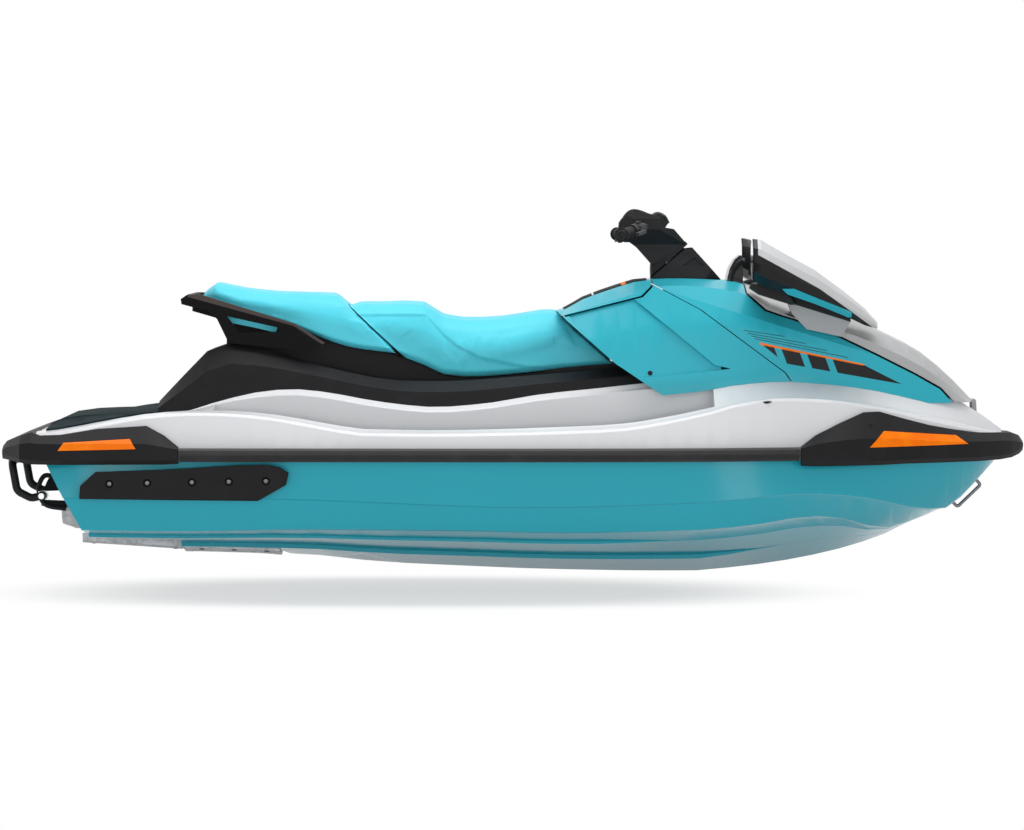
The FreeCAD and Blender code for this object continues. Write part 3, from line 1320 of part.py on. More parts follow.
def make_impeller():
    """Impeller: hub with twisted lofted blades, trimmed to the running clearance."""
    body = doc.addObject("PartDesign::Body", "impeller_body")
    put(body, STERN_CELL + " + Sizes.tunnel_length - Sizes.impeller_place - Sizes.impeller_length / 2",
        "0", "Sizes.pump_height")
    half, hub = "Sizes.impeller_length / 2", "Sizes.impeller_hub / 2"
    nose = half + " + Sizes.nose_length"
    turned(body, "hub", [("-" + half, "0"), (nose, "0"), (nose, hub + " / 2"), (half, hub),
                         ("-" + half, hub)])
    root = blade_sketch(body, "blade_root", hub + " / 2", "Sizes.root_pitch")
    tip = blade_sketch(body, "blade_tip", "Sizes.pump_bore / 2", "Sizes.tip_pitch")
    blade = body.newObject("PartDesign::AdditiveLoft", "blade")
    blade.Profile = root
    blade.Sections = [tip]
    blade.Ruled = True
    doc.recompute()
    repeated(body, blade, "blades", "Sizes.blade_count")
    sleeve = bind(doc.addObject("Part::Cylinder", "impeller_sleeve"),
                  Radius="Sizes.pump_bore / 2 - Sizes.impeller_clearance",
                  Height="Sizes.impeller_length + Sizes.nose_length")
    put(sleeve, STERN_CELL + " + Sizes.tunnel_length - Sizes.impeller_place - Sizes.impeller_length", "0",
        "Sizes.pump_height", Vector(0, 1, 0), 90)
    trimmed = doc.addObject("Part::Common", "impeller")
    trimmed.Base = body
    trimmed.Tool = sleeve
    keep_bound("impeller", trimmed)
    start = STERN_CELL + " + Sizes.tunnel_length - Sizes.impeller_place + Sizes.nose_length"
    shaft = bind(doc.addObject("Part::Cylinder", "drive_shaft"), Radius="Sizes.shaft_diameter / 2",
                 Height=f"Sizes.engine_place {STERN_CELL} - Sizes.shaft_end_gap - ({start})")
    put(shaft, start, "0", "Sizes.pump_height", Vector(0, 1, 0), 90)
    keep_bound("drive_shaft", shaft)


def make_bucket():
    """Reverse bucket: a curved shell with side cheeks, ribs outside and an eye at each pin."""
    x, z = STERN + size("bucket_place"), size("pump_height")
    radius, wall, half = size("bucket_radius"), size("bucket_wall"), size("bucket_width") / 2
    outer = rod(Vector(x, -half, z), Vector(x, half, z), radius)
    inner = rod(Vector(x, -half + wall, z), Vector(x, half - wall, z), radius - wall)
    corner = [(x, z)]
    for angle in (size("bucket_start"), size("bucket_start") + size("bucket_sweep")):
        turn = math.radians(angle)
        corner.append((x - 2 * radius * math.cos(turn), z + 2 * radius * math.sin(turn)))
    sector = prism(corner, -half, half)
    body = outer.cut(inner).common(sector)
    for share in (-1, 0, 1):
        y = share * half / 2
        rib = rod(Vector(x, y - wall / 2, z), Vector(x, y + wall / 2, z), radius + size("bucket_rib"))
        body = body.fuse(rib.cut(inner).common(sector).cut(outer))
    eye = rod(Vector(x, half - wall, z), Vector(x, half, z), size("bucket_pin") * EYE_SHARE)
    bore = rod(Vector(x, -HALF, z), Vector(x, HALF, z), size("bucket_pin") / 2 + size("pin_fit"))
    keep("reverse_bucket", body.fuse(both(eye)).cut(bore))


EYE_SHARE = 1.4


def make_plates():
    """Ride plate with upright side walls below the tunnel, and the barred intake grate."""
    start = STERN + size("ride_plate_place")
    end = start + size("ride_plate_length")
    half = size("tunnel_width") / 2 + size("plate_overlap")
    wall = size("plate_wall")
    rows, hollows = [], []
    for x in (start, end - GAP):
        top = plate_level(x) - GAP
        low = top - size("plate_depth") + size("plate_skin") * (end - x) / size("ride_plate_length")
        rows.append((x, mirrored([(0.0, low), (half - wall, low), (half, low + wall), (half, top),
                                  (0.0, top)])))
        hollows.append((x, mirrored([(0.0, low + wall), (half - 2 * wall, low + wall),
                                     (half - wall, low + 2 * wall), (half - wall, top + wall),
                                     (0.0, top + wall)])))
    keep("ride_plate", loft(rows).cut(loft(hollows)))
    stop = end + size("grate_length") - GAP
    proud = size("grate_proud")
    grate = hull_layer(end, stop, half - GAP, size("plate_skin"))
    grate = grate.cut(hull_layer(end - OVER, stop + OVER, half + OVER, -proud))
    inner = size("duct_width") / 2
    margin = size("grate_margin")
    low = -DRAFT - OVER
    window = box(end + margin, stop - margin, -inner, inner, low, 0)
    count = int(size("grate_count"))
    bar = size("grate_bar") / 2
    for i in range(1, count):
        y = -inner + 2 * inner * i / count
        window = window.cut(box(end, stop, y - bar, y + bar, low, 0))
    keep("intake_grate", grate.cut(window))


def make_step():
    """Folding boarding step, a bent tube on two hinge brackets."""
    x, z = STERN + size("step_place"), size("step_height")
    half, radius = size("step_width") / 2, size("step_tube") / 2
    reach, knee, bend = size("step_reach"), size("step_knee"), size("step_bend")
    drop = size("step_drop")
    profile = [(x, z), (x - knee, z - drop), (x - reach + knee / 2, z + 2 * drop),
               (x - reach, z + size("step_rise"))]
    side = [Vector(a, half, b) for a, b in profile]
    far = [Vector(a, -half, b) for a, b in reversed(profile)]
    tube = bent_bar(side + far, radius, bend)
    lug = rod(Vector(x, half - radius, z), Vector(x, half + radius, z), radius * LUG_SHARE)
    stub = rod(Vector(x, half - radius * 4, z), Vector(x, half, z), radius / 2)
    step = tube.fuse(both(lug.fuse(stub)))
    keep("boarding_step", step)
    tall = size("step_bracket") / 2
    outline = [(x - tall * LUG_SHARE / 2, z - tall * LUG_SHARE / 2),
               (x - tall * LUG_SHARE / 2, z + tall * LUG_SHARE / 2),
               (x + size("step_bracket_length"), z + tall), (x + size("step_bracket_length"), z - tall)]
    outer = half - radius * LUG_SHARE - size("panel_gap")
    bracket = prism(outline, outer - size("step_tube"), outer)
    hole = rod(Vector(x, 0, z), Vector(x, HALF, z), radius / 2 + size("pin_fit"))
    bracket = bracket.common(transom_cut(GAP)).cut(hole)
    keep("step_brackets", both(largest(bracket, 1)), False)


LUG_SHARE = 1.15


def make_engine():
    """Engine, one plain block in its bay."""
    block = bind(doc.addObject("Part::Box", "engine_block"), Length="Sizes.engine_length",
                 Width="Sizes.engine_width", Height="Sizes.engine_height")
    put(block, f"{STERN_CELL} + Sizes.engine_place", "-Sizes.engine_width / 2",
        "Sizes.bay_floor + Sizes.fit_gap")
    keep_bound("engine_block", block)


def make_mats():
    """Mats on the rear platform and in the footwells."""
    thick = size("mat_thickness")
    start = STERN + size("mat_place")
    end = SURROUND_RISE_SHARES[0][0] * LENGTH - size("panel_gap")
    span = (start / LENGTH, end / LENGTH)
    half = size("mat_width") / 2
    band = box(start, end, -half, half, DECK * PEDESTAL_SHARE, 2 * DECK)
    skin = deck_body(thick, *span).common(band).cut(deck_body(GAP, *span))
    bumper = bumper_body(STERN_BUMPER_SHARES, size("mat_margin") / 2)
    pieces = [largest(skin.cut(bumper), 1)]
    margin = size("mat_margin")
    start = STERN + size("well_place") + 3 * margin
    end = STERN + size("well_place") + size("well_length") - 3 * margin
    floor = size("well_floor") + GAP
    rows = []
    for x in stations(start, end, WELL_STATIONS):
        inner, outer = well_edges(x)
        rows.append((x, [(inner + margin, floor), (outer - margin, floor),
                         (outer - margin, floor + thick), (inner + margin, floor + thick)]))
    mat = loft(rows)
    pieces += [mat, mat.mirror(Vector(), Vector(0, 1, 0))]
    keep("deck_mats", Part.makeCompound(pieces), False)


HANDLE_SHARES = [(-0.3295, 2.592), (-0.3227, 2.652), (-0.3087, 2.644), (-0.2179, 2.268),
                 (-0.189, 2.016), (-0.1931, 1.976), (-0.2209, 1.936), (-0.2827, 2.016),
                 (-0.294, 2.328), (-0.3027, 2.432), (-0.3287, 2.524)]
SLOT_SHARES = [(-0.2848, 2.368), (-0.2349, 2.22), (-0.2334, 2.164), (-0.272, 2.15)]


def make_handle(rear):
    """Grab handle round the back of the rear seat, with a hand slot in each side."""
    inner = size("seat_width") / 2 + size("panel_gap")
    outer = inner + size("handle_tube")
    body = prism(shares_to_points(HANDLE_SHARES), -outer, outer)
    x = REAR_SEAT_SHARES[0][0] * LENGTH - 4 * size("panel_gap")
    body = body.cut(box(x, LENGTH, -inner, inner, 0, 4 * DECK))
    body = body.cut(prism(shares_to_points(SLOT_SHARES), -HALF, HALF))
    low, high = HANDLE_SHARES[8][1] * DECK, HANDLE_SHARES[1][1] * DECK
    lap = x + size("handle_lap")
    shelf = prism([(x - GAP, HANDLE_SHARES[9][1] * DECK), (x - GAP, high), (lap, high), (lap, low)],
                  -inner - GAP, inner + GAP)
    shelf = shelf.cut(lowered(rear)).cut(rear_space())
    body = body.fuse(largest(shelf, 1)).cut(raised(NODES["seat_surround"].Shape))
    keep("grab_handle", largest(body, 1))


def rear_space():
    """Space above the underside of the rear seat."""
    points = [(row[0] * LENGTH, row[1] * DECK - GAP) for row in REAR_SEAT_SHARES[:5]]
    first = points[0]
    points = [(first[0] - OVER, first[1])] + points
    return prism(points + [(points[-1][0], 4 * DECK), (points[0][0], 4 * DECK)], -HALF, HALF)


def make_eyes():
    """Bow eye, a bent bar that stands on the stem."""
    radius = size("eye_bar") / 2
    top_x, low_x = EYE_SHARES[0] * LENGTH, EYE_SHARES[1] * LENGTH
    top, low = Vector(top_x, 0, keel_z(top_x)), Vector(low_x, 0, keel_z(low_x))
    stem = (top - low).normalize()
    out = Vector(stem.z, 0, -stem.x)
    reach = size("eye_reach")
    path = [top - out * reach, top + out * reach, low + out * reach, low - out * reach]
    eye = bent_bar(path, radius, size("eye_bend")).cut(hull_body(GAP, EYE_SHARES[1], EYE_SHARES[0]))
    keep("bow_eye", largest(eye, 1))


EYE_SHARES = (0.4549, 0.4319)


make_hull()
make_deck()
make_rails()
make_bumper("bow_bumper", "bow_inserts", BOW_BUMPER_SHARES, BOW_INSERT_SHARES)
make_bumper("stern_bumper", "stern_inserts", STERN_BUMPER_SHARES, STERN_INSERT_SHARES)
make_sponsons()
rear_seat, front_seat = make_seats()
make_surround(rear_seat, front_seat)
make_handle(rear_seat)
make_tray()
make_panels()
make_hinge()
make_bins()
make_mirrors()
make_column()
make_steering()
make_pump()
make_nozzle()
make_impeller()
make_bucket()
make_plates()
make_step()
make_engine()
make_mats()
make_eyes()


def check_document():
    """Stop unless every object is sound and every sub-part has a valid solid."""
    doc.recompute()
    for thing in doc.Objects:
        if "Invalid" in thing.State or "Error" in thing.State:
            raise RuntimeError(f"{thing.Label} failed: {thing.State}")
    for name, feature in NODES.items():
        shape = feature.Shape
        if shape.isNull() or not shape.isValid() or not shape.Solids:
            raise RuntimeError(f"{name} has no valid solid")


check_document()
os.makedirs("parts", exist_ok=True)
for name, feature in NODES.items():
    feature.Shape.exportStep(f"parts/{name}.step")
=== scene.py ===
import bpy
import bmesh
import math
import numpy as np
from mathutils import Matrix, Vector
from mathutils.bvhtree import BVHTree


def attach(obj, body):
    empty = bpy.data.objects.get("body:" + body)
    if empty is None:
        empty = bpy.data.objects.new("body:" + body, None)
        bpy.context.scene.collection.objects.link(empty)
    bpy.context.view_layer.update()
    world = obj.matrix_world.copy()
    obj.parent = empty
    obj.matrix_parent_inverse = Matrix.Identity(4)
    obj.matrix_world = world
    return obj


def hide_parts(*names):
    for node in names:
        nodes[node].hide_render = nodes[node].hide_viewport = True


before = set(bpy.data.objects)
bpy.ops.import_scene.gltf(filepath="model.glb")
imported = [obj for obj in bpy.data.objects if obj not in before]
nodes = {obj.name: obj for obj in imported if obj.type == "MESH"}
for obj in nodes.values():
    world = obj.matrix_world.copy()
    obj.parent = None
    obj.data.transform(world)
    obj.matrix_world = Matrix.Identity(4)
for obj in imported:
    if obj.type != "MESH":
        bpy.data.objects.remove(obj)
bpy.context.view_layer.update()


# Places of a colour Mix node's sockets
MIX_FACTOR, MIX_FIRST, MIX_SECOND, MIX_RESULT = 0, 6, 7, 2


class Value:
    """A shader socket that takes part in Python arithmetic by adding Math nodes."""

    def __init__(self, finish, socket):
        self.finish = finish
        self.socket = socket

    def math(self, operation, *others):
        """One Math node on this value and the others."""
        inputs = {i: other for i, other in enumerate((self,) + others)}
        return self.finish.node("ShaderNodeMath", {"operation": operation}, inputs)

    def __add__(self, other):
        return self.math("ADD", other)

    __radd__ = __add__

    def __mul__(self, other):
        return self.math("MULTIPLY", other)

    __rmul__ = __mul__

    def __sub__(self, other):
        return self.math("SUBTRACT", other)

    def __rsub__(self, other):
        return self.math("MULTIPLY", -1.0).math("ADD", other)

    def below(self, level):
        """1 where the value is less than a level, else 0."""
        return self.math("LESS_THAN", level)

    def ramp(self, low, high):
        """Smooth step from 0 at low to 1 at high."""
        return self.finish.node("ShaderNodeMapRange", {"interpolation_type": "SMOOTHSTEP"},
                                {"Value": self, "From Min": low, "From Max": high})


class Finish:
    """One procedural material, made node by node."""

    def __init__(self, name):
        self.material = bpy.data.materials.new(name)
        self.material.use_nodes = True
        self.tree = self.material.node_tree
        self.shader = self.tree.nodes["Principled BSDF"]
        self.coords = self.node("ShaderNodeTexCoord", {}, {}, "Object")

    def node(self, kind, settings, inputs, output=0):
        """Any node: its settings first, then the values or links of its sockets."""
        made = self.tree.nodes.new(kind)
        for key, value in settings.items():
            setattr(made, key, value)
        for key, value in inputs.items():
            self.feed(made.inputs[key], value)
        return Value(self, made.outputs[output])

    def feed(self, socket, value):
        """Link a value to a socket, or write a plain number or colour in it."""
        if isinstance(value, Value):
            self.tree.links.new(value.socket, socket)
        elif hasattr(value, "__len__") and len(value) == 3 and len(socket.default_value) == 4:
            socket.default_value = tuple(value) + (1.0,)
        else:
            socket.default_value = value

    def set(self, **inputs):
        """Feed the surface shader's sockets by name."""
        for key, value in inputs.items():
            self.feed(self.shader.inputs[key.replace("_", " ")], value)
        return self

    def axis(self, letter):
        """One coordinate of the craft's own frame, in metres."""
        return self.node("ShaderNodeSeparateXYZ", {}, {0: self.coords}, letter)

    def facing(self, letter):
        """One part of the surface's own direction, from -1 to 1."""
        normal = self.node("ShaderNodeTexCoord", {}, {}, "Normal")
        return self.node("ShaderNodeSeparateXYZ", {}, {0: normal}, letter)

    def noise(self, scale, detail=2.0, roughness=0.5, stretch=(1.0, 1.0, 1.0)):
        """Cloudy pattern from 0 to 1, with scale in patches to a metre."""
        where = self.node("ShaderNodeMapping", {}, {"Vector": self.coords, "Scale": stretch})
        return self.node("ShaderNodeTexNoise", {}, {"Vector": where, "Scale": scale,
                                                    "Detail": detail, "Roughness": roughness})

    def cells(self, scale):
        """Distance to the nearest of scattered points, with scale in points to a metre."""
        return self.node("ShaderNodeTexVoronoi", {}, {"Vector": self.coords, "Scale": scale})

    def beyond(self, start, end):
        """Distance in metres to the left of the line from start to end in the side view."""
        run = math.dist(start, end)
        across = ((start[1] - end[1]) / run, (end[0] - start[0]) / run)
        offset = start[0] * across[0] + start[1] * across[1]
        return self.axis("X") * across[0] + self.axis("Z") * across[1] - offset

    def inside(self, corners, soft=0.0006):
        """1 inside a convex outline in the side view that runs anticlockwise."""
        mask = 1.0
        for start, end in zip(corners, corners[1:] + corners[:1]):
            mask = self.beyond(start, end).ramp(-soft, soft) * mask
        return mask

    def mix(self, factor, first, second):
        """Colour between two colours."""
        return self.node("ShaderNodeMix", {"data_type": "RGBA"},
                         {MIX_FACTOR: factor, MIX_FIRST: first, MIX_SECOND: second}, MIX_RESULT)

    def bump(self, height, distance):
        """Relief from a height of 0 to 1 times a distance in metres."""
        normal = self.node("ShaderNodeBump", {}, {"Height": height, "Strength": 1.0,
                                                  "Distance": distance})
        self.feed(self.shader.inputs["Normal"], normal)
        return self


def scaled(color, factor):
    """Darker or paler shade of a colour."""
    return tuple(min(c * factor, 1.0) for c in color)


# Finishes
BLACK_INK = (0.005, 0.005, 0.006)
ORANGE = (0.93, 0.17, 0.001)


def gelcoat(name, color, rough=0.16, paint=None, tilt=None):
    """Glossy moulded laminate: faint colour cloud, fine wipe marks, slight orange peel."""
    finish = Finish(name)
    cloud = finish.noise(1.6, 2.0).ramp(0.3, 0.7)
    wipes = finish.noise(30.0, 4.0, 0.6, (1.0, 1.0, 3.0))
    base = finish.mix(cloud * 0.4, color, scaled(color, 0.94))
    if paint:
        base = paint(finish, base)
    finish.set(Base_Color=base, Roughness=wipes * 0.08 + (rough - 0.03), Coat_Weight=0.1,
               Coat_Roughness=0.08, Specular_IOR_Level=0.2)
    peel = finish.noise(90.0, 2.0) * 0.00012
    return finish.bump(peel + tilt(finish) if tilt else peel, 1.0)


def grained(name, color, rough=0.5, grain=900.0, depth=0.0002, shine=0.13, paint=None):
    """Moulded plastic with a fine leather grain, a little paler where it is scuffed."""
    finish = Finish(name)
    wear = finish.noise(11.0, 4.0, 0.65)
    base = finish.mix(wear.ramp(0.4, 0.8), color, scaled(color, 1.5))
    if paint:
        base = paint(finish, base)
    finish.set(Base_Color=base, Roughness=wear * 0.16 + (rough - 0.08), Specular_IOR_Level=shine)
    return finish.bump(finish.cells(grain), depth)


def metal(name, color, rough, mottle=0.2, bare=1.0):
    """Cast or machined metal with a mottled skin, bare or thinly painted."""
    finish = Finish(name)
    cast = finish.noise(60.0, 6.0, 0.7)
    finish.set(Base_Color=finish.mix(cast.ramp(0.35, 0.7), color, scaled(color, 1 - mottle)),
               Metallic=bare, Roughness=cast * 0.2 + (rough - 0.1))
    return finish.bump(cast, 0.0002)


def mirror_finish(name, color):
    """Silvered towards the rider, black on the edges and behind."""
    finish = Finish(name)
    silvered = 1.0 - finish.facing("X").ramp(-0.6, -0.5)
    haze = finish.noise(8.0, 3.0)
    finish.set(Base_Color=finish.mix(silvered, BLACK_INK, color), Metallic=silvered,
               Roughness=haze * 0.06 + 0.05, Specular_IOR_Level=0.1)
    return finish.bump(haze, 0.00002)


def vinyl_cover(name, color):
    """Marine vinyl: fine pebble grain, soft sheen and faint handling marks."""
    finish = Finish(name)
    handled = finish.noise(6.0, 3.0, 0.6).ramp(0.35, 0.75)
    pebble = finish.cells(520.0) + finish.noise(900.0, 2.0) * 0.6
    finish.set(Base_Color=finish.mix(handled * 0.4, color, scaled(color, 0.92)),
               Roughness=handled * 0.08 + 0.44, Specular_IOR_Level=0.3, Sheen_Weight=0.1,
               Sheen_Roughness=0.4)
    return finish.bump(pebble, 0.00018)


def ribbed_foam(name, color, pitch=0.012):
    """Mat foam cut in fore-and-aft ribs, a sine of the distance across, with a fine speckle."""
    finish = Finish(name)
    wave = (finish.axis("Y") * (math.tau / pitch)).math("SINE").ramp(-0.4, 0.5)
    speckle = finish.noise(500.0, 2.0)
    # The grooves between the ribs are painted darker: painted shade in the recesses
    finish.set(Base_Color=finish.mix(wave * 0.7 + speckle * 0.3, scaled(color, 0.45), color),
               Roughness=0.8, Specular_IOR_Level=0.1)
    return finish.bump(wave + speckle * 0.2, 0.0012)


def ribbed_grip(name, color, pitch=0.005):
    """Grip rubber with rings along the bar, a sine of the distance across."""
    finish = Finish(name)
    rings = (finish.axis("Y") * (math.tau / pitch)).math("SINE").ramp(-0.5, 0.5)
    # The grooves between the rings are painted darker: painted shade in the recesses
    finish.set(Base_Color=finish.mix(rings, scaled(color, 0.5), color), Roughness=0.72,
               Specular_IOR_Level=0.2)
    return finish.bump(rings, 0.0008)


def cowl_graphic(finish, base):
    """Slanted gaps in a black wedge, a thin orange line along it and fine lines above it."""
    wedge = [(0.796, 0.5), (0.871, 0.439), (1.259, 0.368), (1.134, 0.431)]
    ink = finish.inside(wedge)
    for foot in (0.884, 0.962, 1.04):
        gap = [(foot, 0.36), (foot + 0.022, 0.36), (foot - 0.038, 0.52), (foot - 0.06, 0.52)]
        ink = ink * (1.0 - finish.inside(gap))
    line = finish.inside([(0.788, 0.5), (1.13, 0.43), (1.136, 0.434), (0.788, 0.5075)])
    base = finish.mix(ink, base, BLACK_INK)
    base = finish.mix(line, base, ORANGE)
    thick = 0.0025
    for level in range(4):
        rise = 0.013 + level * 0.009
        x0, z0 = 0.772 - level * 0.012, 0.5055 + rise
        x1, z1 = 1.08 - level * 0.07, 0.4424 + rise + level * 0.0143
        fine = finish.inside([(x0, z0), (x1, z1), (x1, z1 + thick), (x0, z0 + thick)])
        base = finish.mix(fine * 0.85, base, BLACK_INK)
    return base


def cowl_facet(finish):
    """Upper band of the cowl, which leans in above a crease: depth is slope times height."""
    slope = 0.6
    above = finish.beyond((0.709, 0.606), (1.347, 0.41)).math("MAXIMUM", 0.0)
    return above * -slope


def strip_print(finish, base):
    """Orange slash and a pale bar across the black strip."""
    slash = finish.inside([(0.345, 0.55), (0.36, 0.55), (0.352, 0.8), (0.337, 0.8)])
    bar = finish.inside([(0.243, 0.55), (0.249, 0.55), (0.249, 0.8), (0.243, 0.8)])
    return finish.mix(bar, finish.mix(slash, base, ORANGE), (0.7, 0.7, 0.7))


def mirror_paint(finish, base):
    """Silver cap over a gloss black flank, black inboard and round the rear rim."""
    flank = finish.inside([(0.74, 0.62), (1.25, 0.5), (1.18, 0.572), (0.975, 0.684), (0.87, 0.757),
                           (0.74, 0.815)])
    rim = finish.axis("X").below(0.774)
    inboard = 1.0 - (finish.axis("Y") * finish.facing("Y")).ramp(-0.06, -0.02)
    return finish.mix(flank.math("MAXIMUM", rim).math("MAXIMUM", inboard), base, BLACK_INK)


def stay_paint(finish, base):
    """Foot of each mirror stay in the colour of the hood that carries it."""
    foot = finish.beyond((1.168, 0.548), (0.898, 0.632)).ramp(-0.001, 0.001)
    return finish.mix(foot, base, (0.36, 0.365, 0.37))


def handle_top_highlight(finish, base):
    """Painted highlight: a brown-grey band along the top edge of the handle, where a lit bevel would
    catch the light.
    """
    rear = finish.inside([(-1.081, 0.655), (-0.73, 0.559), (-0.73, 0.58), (-1.081, 0.675)])
    front = finish.inside([(-0.736, 0.561), (-0.637, 0.497), (-0.62, 0.515), (-0.72, 0.58)])
    return finish.mix(rear.math("MAXIMUM", front), base, (0.075, 0.06, 0.055))


teal = (0.018, 0.34, 0.43)
panel = (0.026, 0.41, 0.51)
hull_teal = gelcoat("hull_gelcoat", teal)
body_teal = gelcoat("panel_gelcoat", panel, 0.32)
cowl_teal = gelcoat("cowl_gelcoat", panel, 0.32, cowl_graphic, cowl_facet)
white = gelcoat("deck_gelcoat", (0.70, 0.71, 0.73), 0.22)
silver = gelcoat("silver_gelcoat", (0.40, 0.405, 0.41), 0.3)
pod_silver = gelcoat("pod_gelcoat", (0.52, 0.53, 0.54), 0.2, mirror_paint)
gloss_black = gelcoat("black_gloss", BLACK_INK, 0.14)
black = grained("black_grained", (0.009, 0.009, 0.010))
deep_black = grained("black_shaded", (0.003, 0.003, 0.003), shine=0.05)
satin_black = grained("black_satin", (0.013, 0.013, 0.014), 0.4, 1400.0, 0.0001)
# The handle's finish carries a painted highlight along its top edge
handle_black = grained("handle_grained", (0.004, 0.004, 0.004), shine=0.07, paint=handle_top_highlight)
stay_black = grained("stay_satin", (0.010, 0.010, 0.011), 0.4, paint=stay_paint)
strip_black = grained("strip_film", (0.008, 0.008, 0.009), 0.6, shine=0.06, paint=strip_print)
orange = grained("orange_insert", ORANGE, 0.4, 1400.0, 0.00005, 0.1)
strip = grained("strip_grey", (0.022, 0.022, 0.023), 0.5, shine=0.1)
rail_black = grained("rail_grained", (0.018, 0.018, 0.019), 0.42, shine=0.3)
bolt_black = metal("bolt_black", (0.16, 0.16, 0.17), 0.32, 0.1)
vinyl = vinyl_cover("seat_vinyl", (0.075, 0.60, 0.73))
mats = ribbed_foam("mat_foam", (0.011, 0.025, 0.029))
alloy = metal("cast_alloy", (0.55, 0.555, 0.57), 0.5, 0.35, bare=0.55)
steel = metal("bright_steel", (0.6, 0.6, 0.6), 0.25, 0.05)
dull_steel = metal("dull_steel", (0.17, 0.17, 0.18), 0.35, 0.1)
engine_paint = metal("engine_paint", (0.1, 0.1, 0.11), 0.6)
pane = mirror_finish("mirror_pane", (0.78, 0.8, 0.83))
rubber = ribbed_grip("grip_rubber", (0.018, 0.018, 0.02))

FINISHES = {
    "hull_shell": hull_teal, "deck_moulding": white, "rub_rails": rail_black, "rail_strips": strip,
    "bow_bumper": black, "bow_inserts": orange, "stern_bumper": black, "stern_inserts": orange,
    "sponsons": black, "rear_seat": vinyl, "front_seat": vinyl, "seat_surround": black,
    "grab_handle": handle_black, "seat_tray": deep_black, "hood": silver, "hood_hinge": dull_steel,
    "glovebox_lid": body_teal, "front_cowl": cowl_teal, "side_cowls": body_teal,
    "bow_bin": black, "glovebox_bin": black, "mirror_housings": pod_silver,
    "mirror_inserts": body_teal, "mirror_glass": pane, "mirror_stays": stay_black,
    "column_cover": satin_black, "display_pod": gloss_black, "handlebar": satin_black,
    "steering_head": satin_black, "steering_shaft": steel, "grips": rubber,
    "levers": satin_black, "pump_housing": alloy, "steering_nozzle": alloy, "impeller": steel,
    "drive_shaft": steel, "reverse_bucket": black, "ride_plate": alloy, "intake_grate": alloy,
    "boarding_step": satin_black, "step_brackets": steel, "engine_block": engine_paint,
    "deck_mats": mats, "bow_eye": dull_steel,
}


WELD_GAP = 0.00002
SOLID_CREASE = math.radians(22)
TRIM_CREASE = math.radians(32)


def dress(name, finish):
    """Give a CAD node its finish, and soft shading apart from creases over 22 degrees."""
    piece = nodes[name]
    piece.data.materials.clear()
    piece.data.materials.append(finish.material)
    piece.data.polygons.foreach_set("use_smooth", [True] * len(piece.data.polygons))
    weld = piece.modifiers.new("weld", "WELD")
    weld.merge_threshold = WELD_GAP
    split = piece.modifiers.new("split", "EDGE_SPLIT")
    split.split_angle = SOLID_CREASE


for name, finish in FINISHES.items():
    dress(name, finish)


# Surfaces worked out on grids
def skin(rows):
    """Closed sheet through rows of rings, each end drawn in to a pole at the ring's middle."""
    rows = np.asarray(rows, dtype=float)
    count, round_count = rows.shape[:2]
    poles = np.stack([rows[0].mean(axis=0), rows[-1].mean(axis=0)])
    verts = np.concatenate([rows.reshape(-1, 3), poles])
    i, j = np.meshgrid(np.arange(count - 1), np.arange(round_count), indexing="ij")
    k = (j + 1) % round_count
    quads = np.stack([i * round_count + j, i * round_count + k, (i + 1) * round_count + k,
                      (i + 1) * round_count + j], axis=-1).reshape(-1, 4)
    ring = np.arange(round_count)
    after = (ring + 1) % round_count
    last = (count - 1) * round_count
    pole = np.full(round_count, count * round_count)
    caps = np.concatenate([np.stack([after, ring, pole], axis=-1),
                           np.stack([last + ring, last + after, pole + 1], axis=-1)])
    return outward(verts, [quads, caps])


def outward(verts, groups):
    """Turn the faces round where the solid's signed volume comes out negative."""
    volume = 0.0
    for faces in groups:
        for a, b in ((1, 2), (2, 3))[:faces.shape[1] - 2]:
            corners = verts[faces[:, [0, a, b]]]
            volume += np.einsum("ij,ij->", corners[:, 0], np.cross(corners[:, 1], corners[:, 2]))
    if volume < 0:
        groups = [faces[:, ::-1] for faces in groups]
    return verts, groups


def curve_points(points, count):
    """Smooth run through points: each stretch is a cubic with the mean slope at its ends."""
    p = np.asarray(points, dtype=float)
    padded = np.concatenate([2 * p[:1] - p[1:2], p, 2 * p[-1:] - p[-2:-1]])
    t = np.linspace(0, len(p) - 1, count)
    i = np.minimum(t.astype(int), len(p) - 2)
    f = (t - i)[:, None]
    a, b, c, d = padded[i], padded[i + 1], padded[i + 2], padded[i + 3]
    return 0.5 * (2 * b + (c - a) * f + (2 * a - 5 * b + 4 * c - d) * f ** 2
                  + (3 * b - a - 3 * c + d) * f ** 3)


def swept(points, profile, up=(0, 0, 1), count=40, taper=None):
    """Profile of across and up offsets carried along a smooth run of points."""
    path = curve_points(points, count)
    along = np.gradient(path, axis=0)
    along /= np.linalg.norm(along, axis=1)[:, None]
    up = np.asarray(up, dtype=float)
    across = np.cross(along, curve_points(up, count) if up.ndim == 2 else up)
    across /= np.linalg.norm(across, axis=1)[:, None]
    rise = np.cross(across, along)
    profile = np.asarray(profile, dtype=float)
    scale = np.ones(count) if taper is None else np.interp(np.linspace(0, 1, count),
                                                           np.linspace(0, 1, len(taper)), taper)
    rings = (path[:, None] + scale[:, None, None] * (across[:, None] * profile[None, :, :1]
                                                     + rise[:, None] * profile[None, :, 1:]))
    return skin(rings)


def ring_profile(radius, flat=1.0, count=12, power=2.0):
    """Rounded outline: cosine and sine raised to 2 / power, flattened in height."""
    angle = np.linspace(0, math.tau, count, endpoint=False)
    c, s = np.cos(angle), np.sin(angle)
    across, rise = (np.sign(f) * np.abs(f) ** (2 / power) for f in (c, s))
    return np.stack([across, flat * rise], axis=-1) * radius


def bar_profile(half_width, half_height):
    """Oblong of twice the given half width and half height."""
    return [(-half_width, -half_height), (half_width, -half_height), (half_width, half_height),
            (-half_width, half_height)]


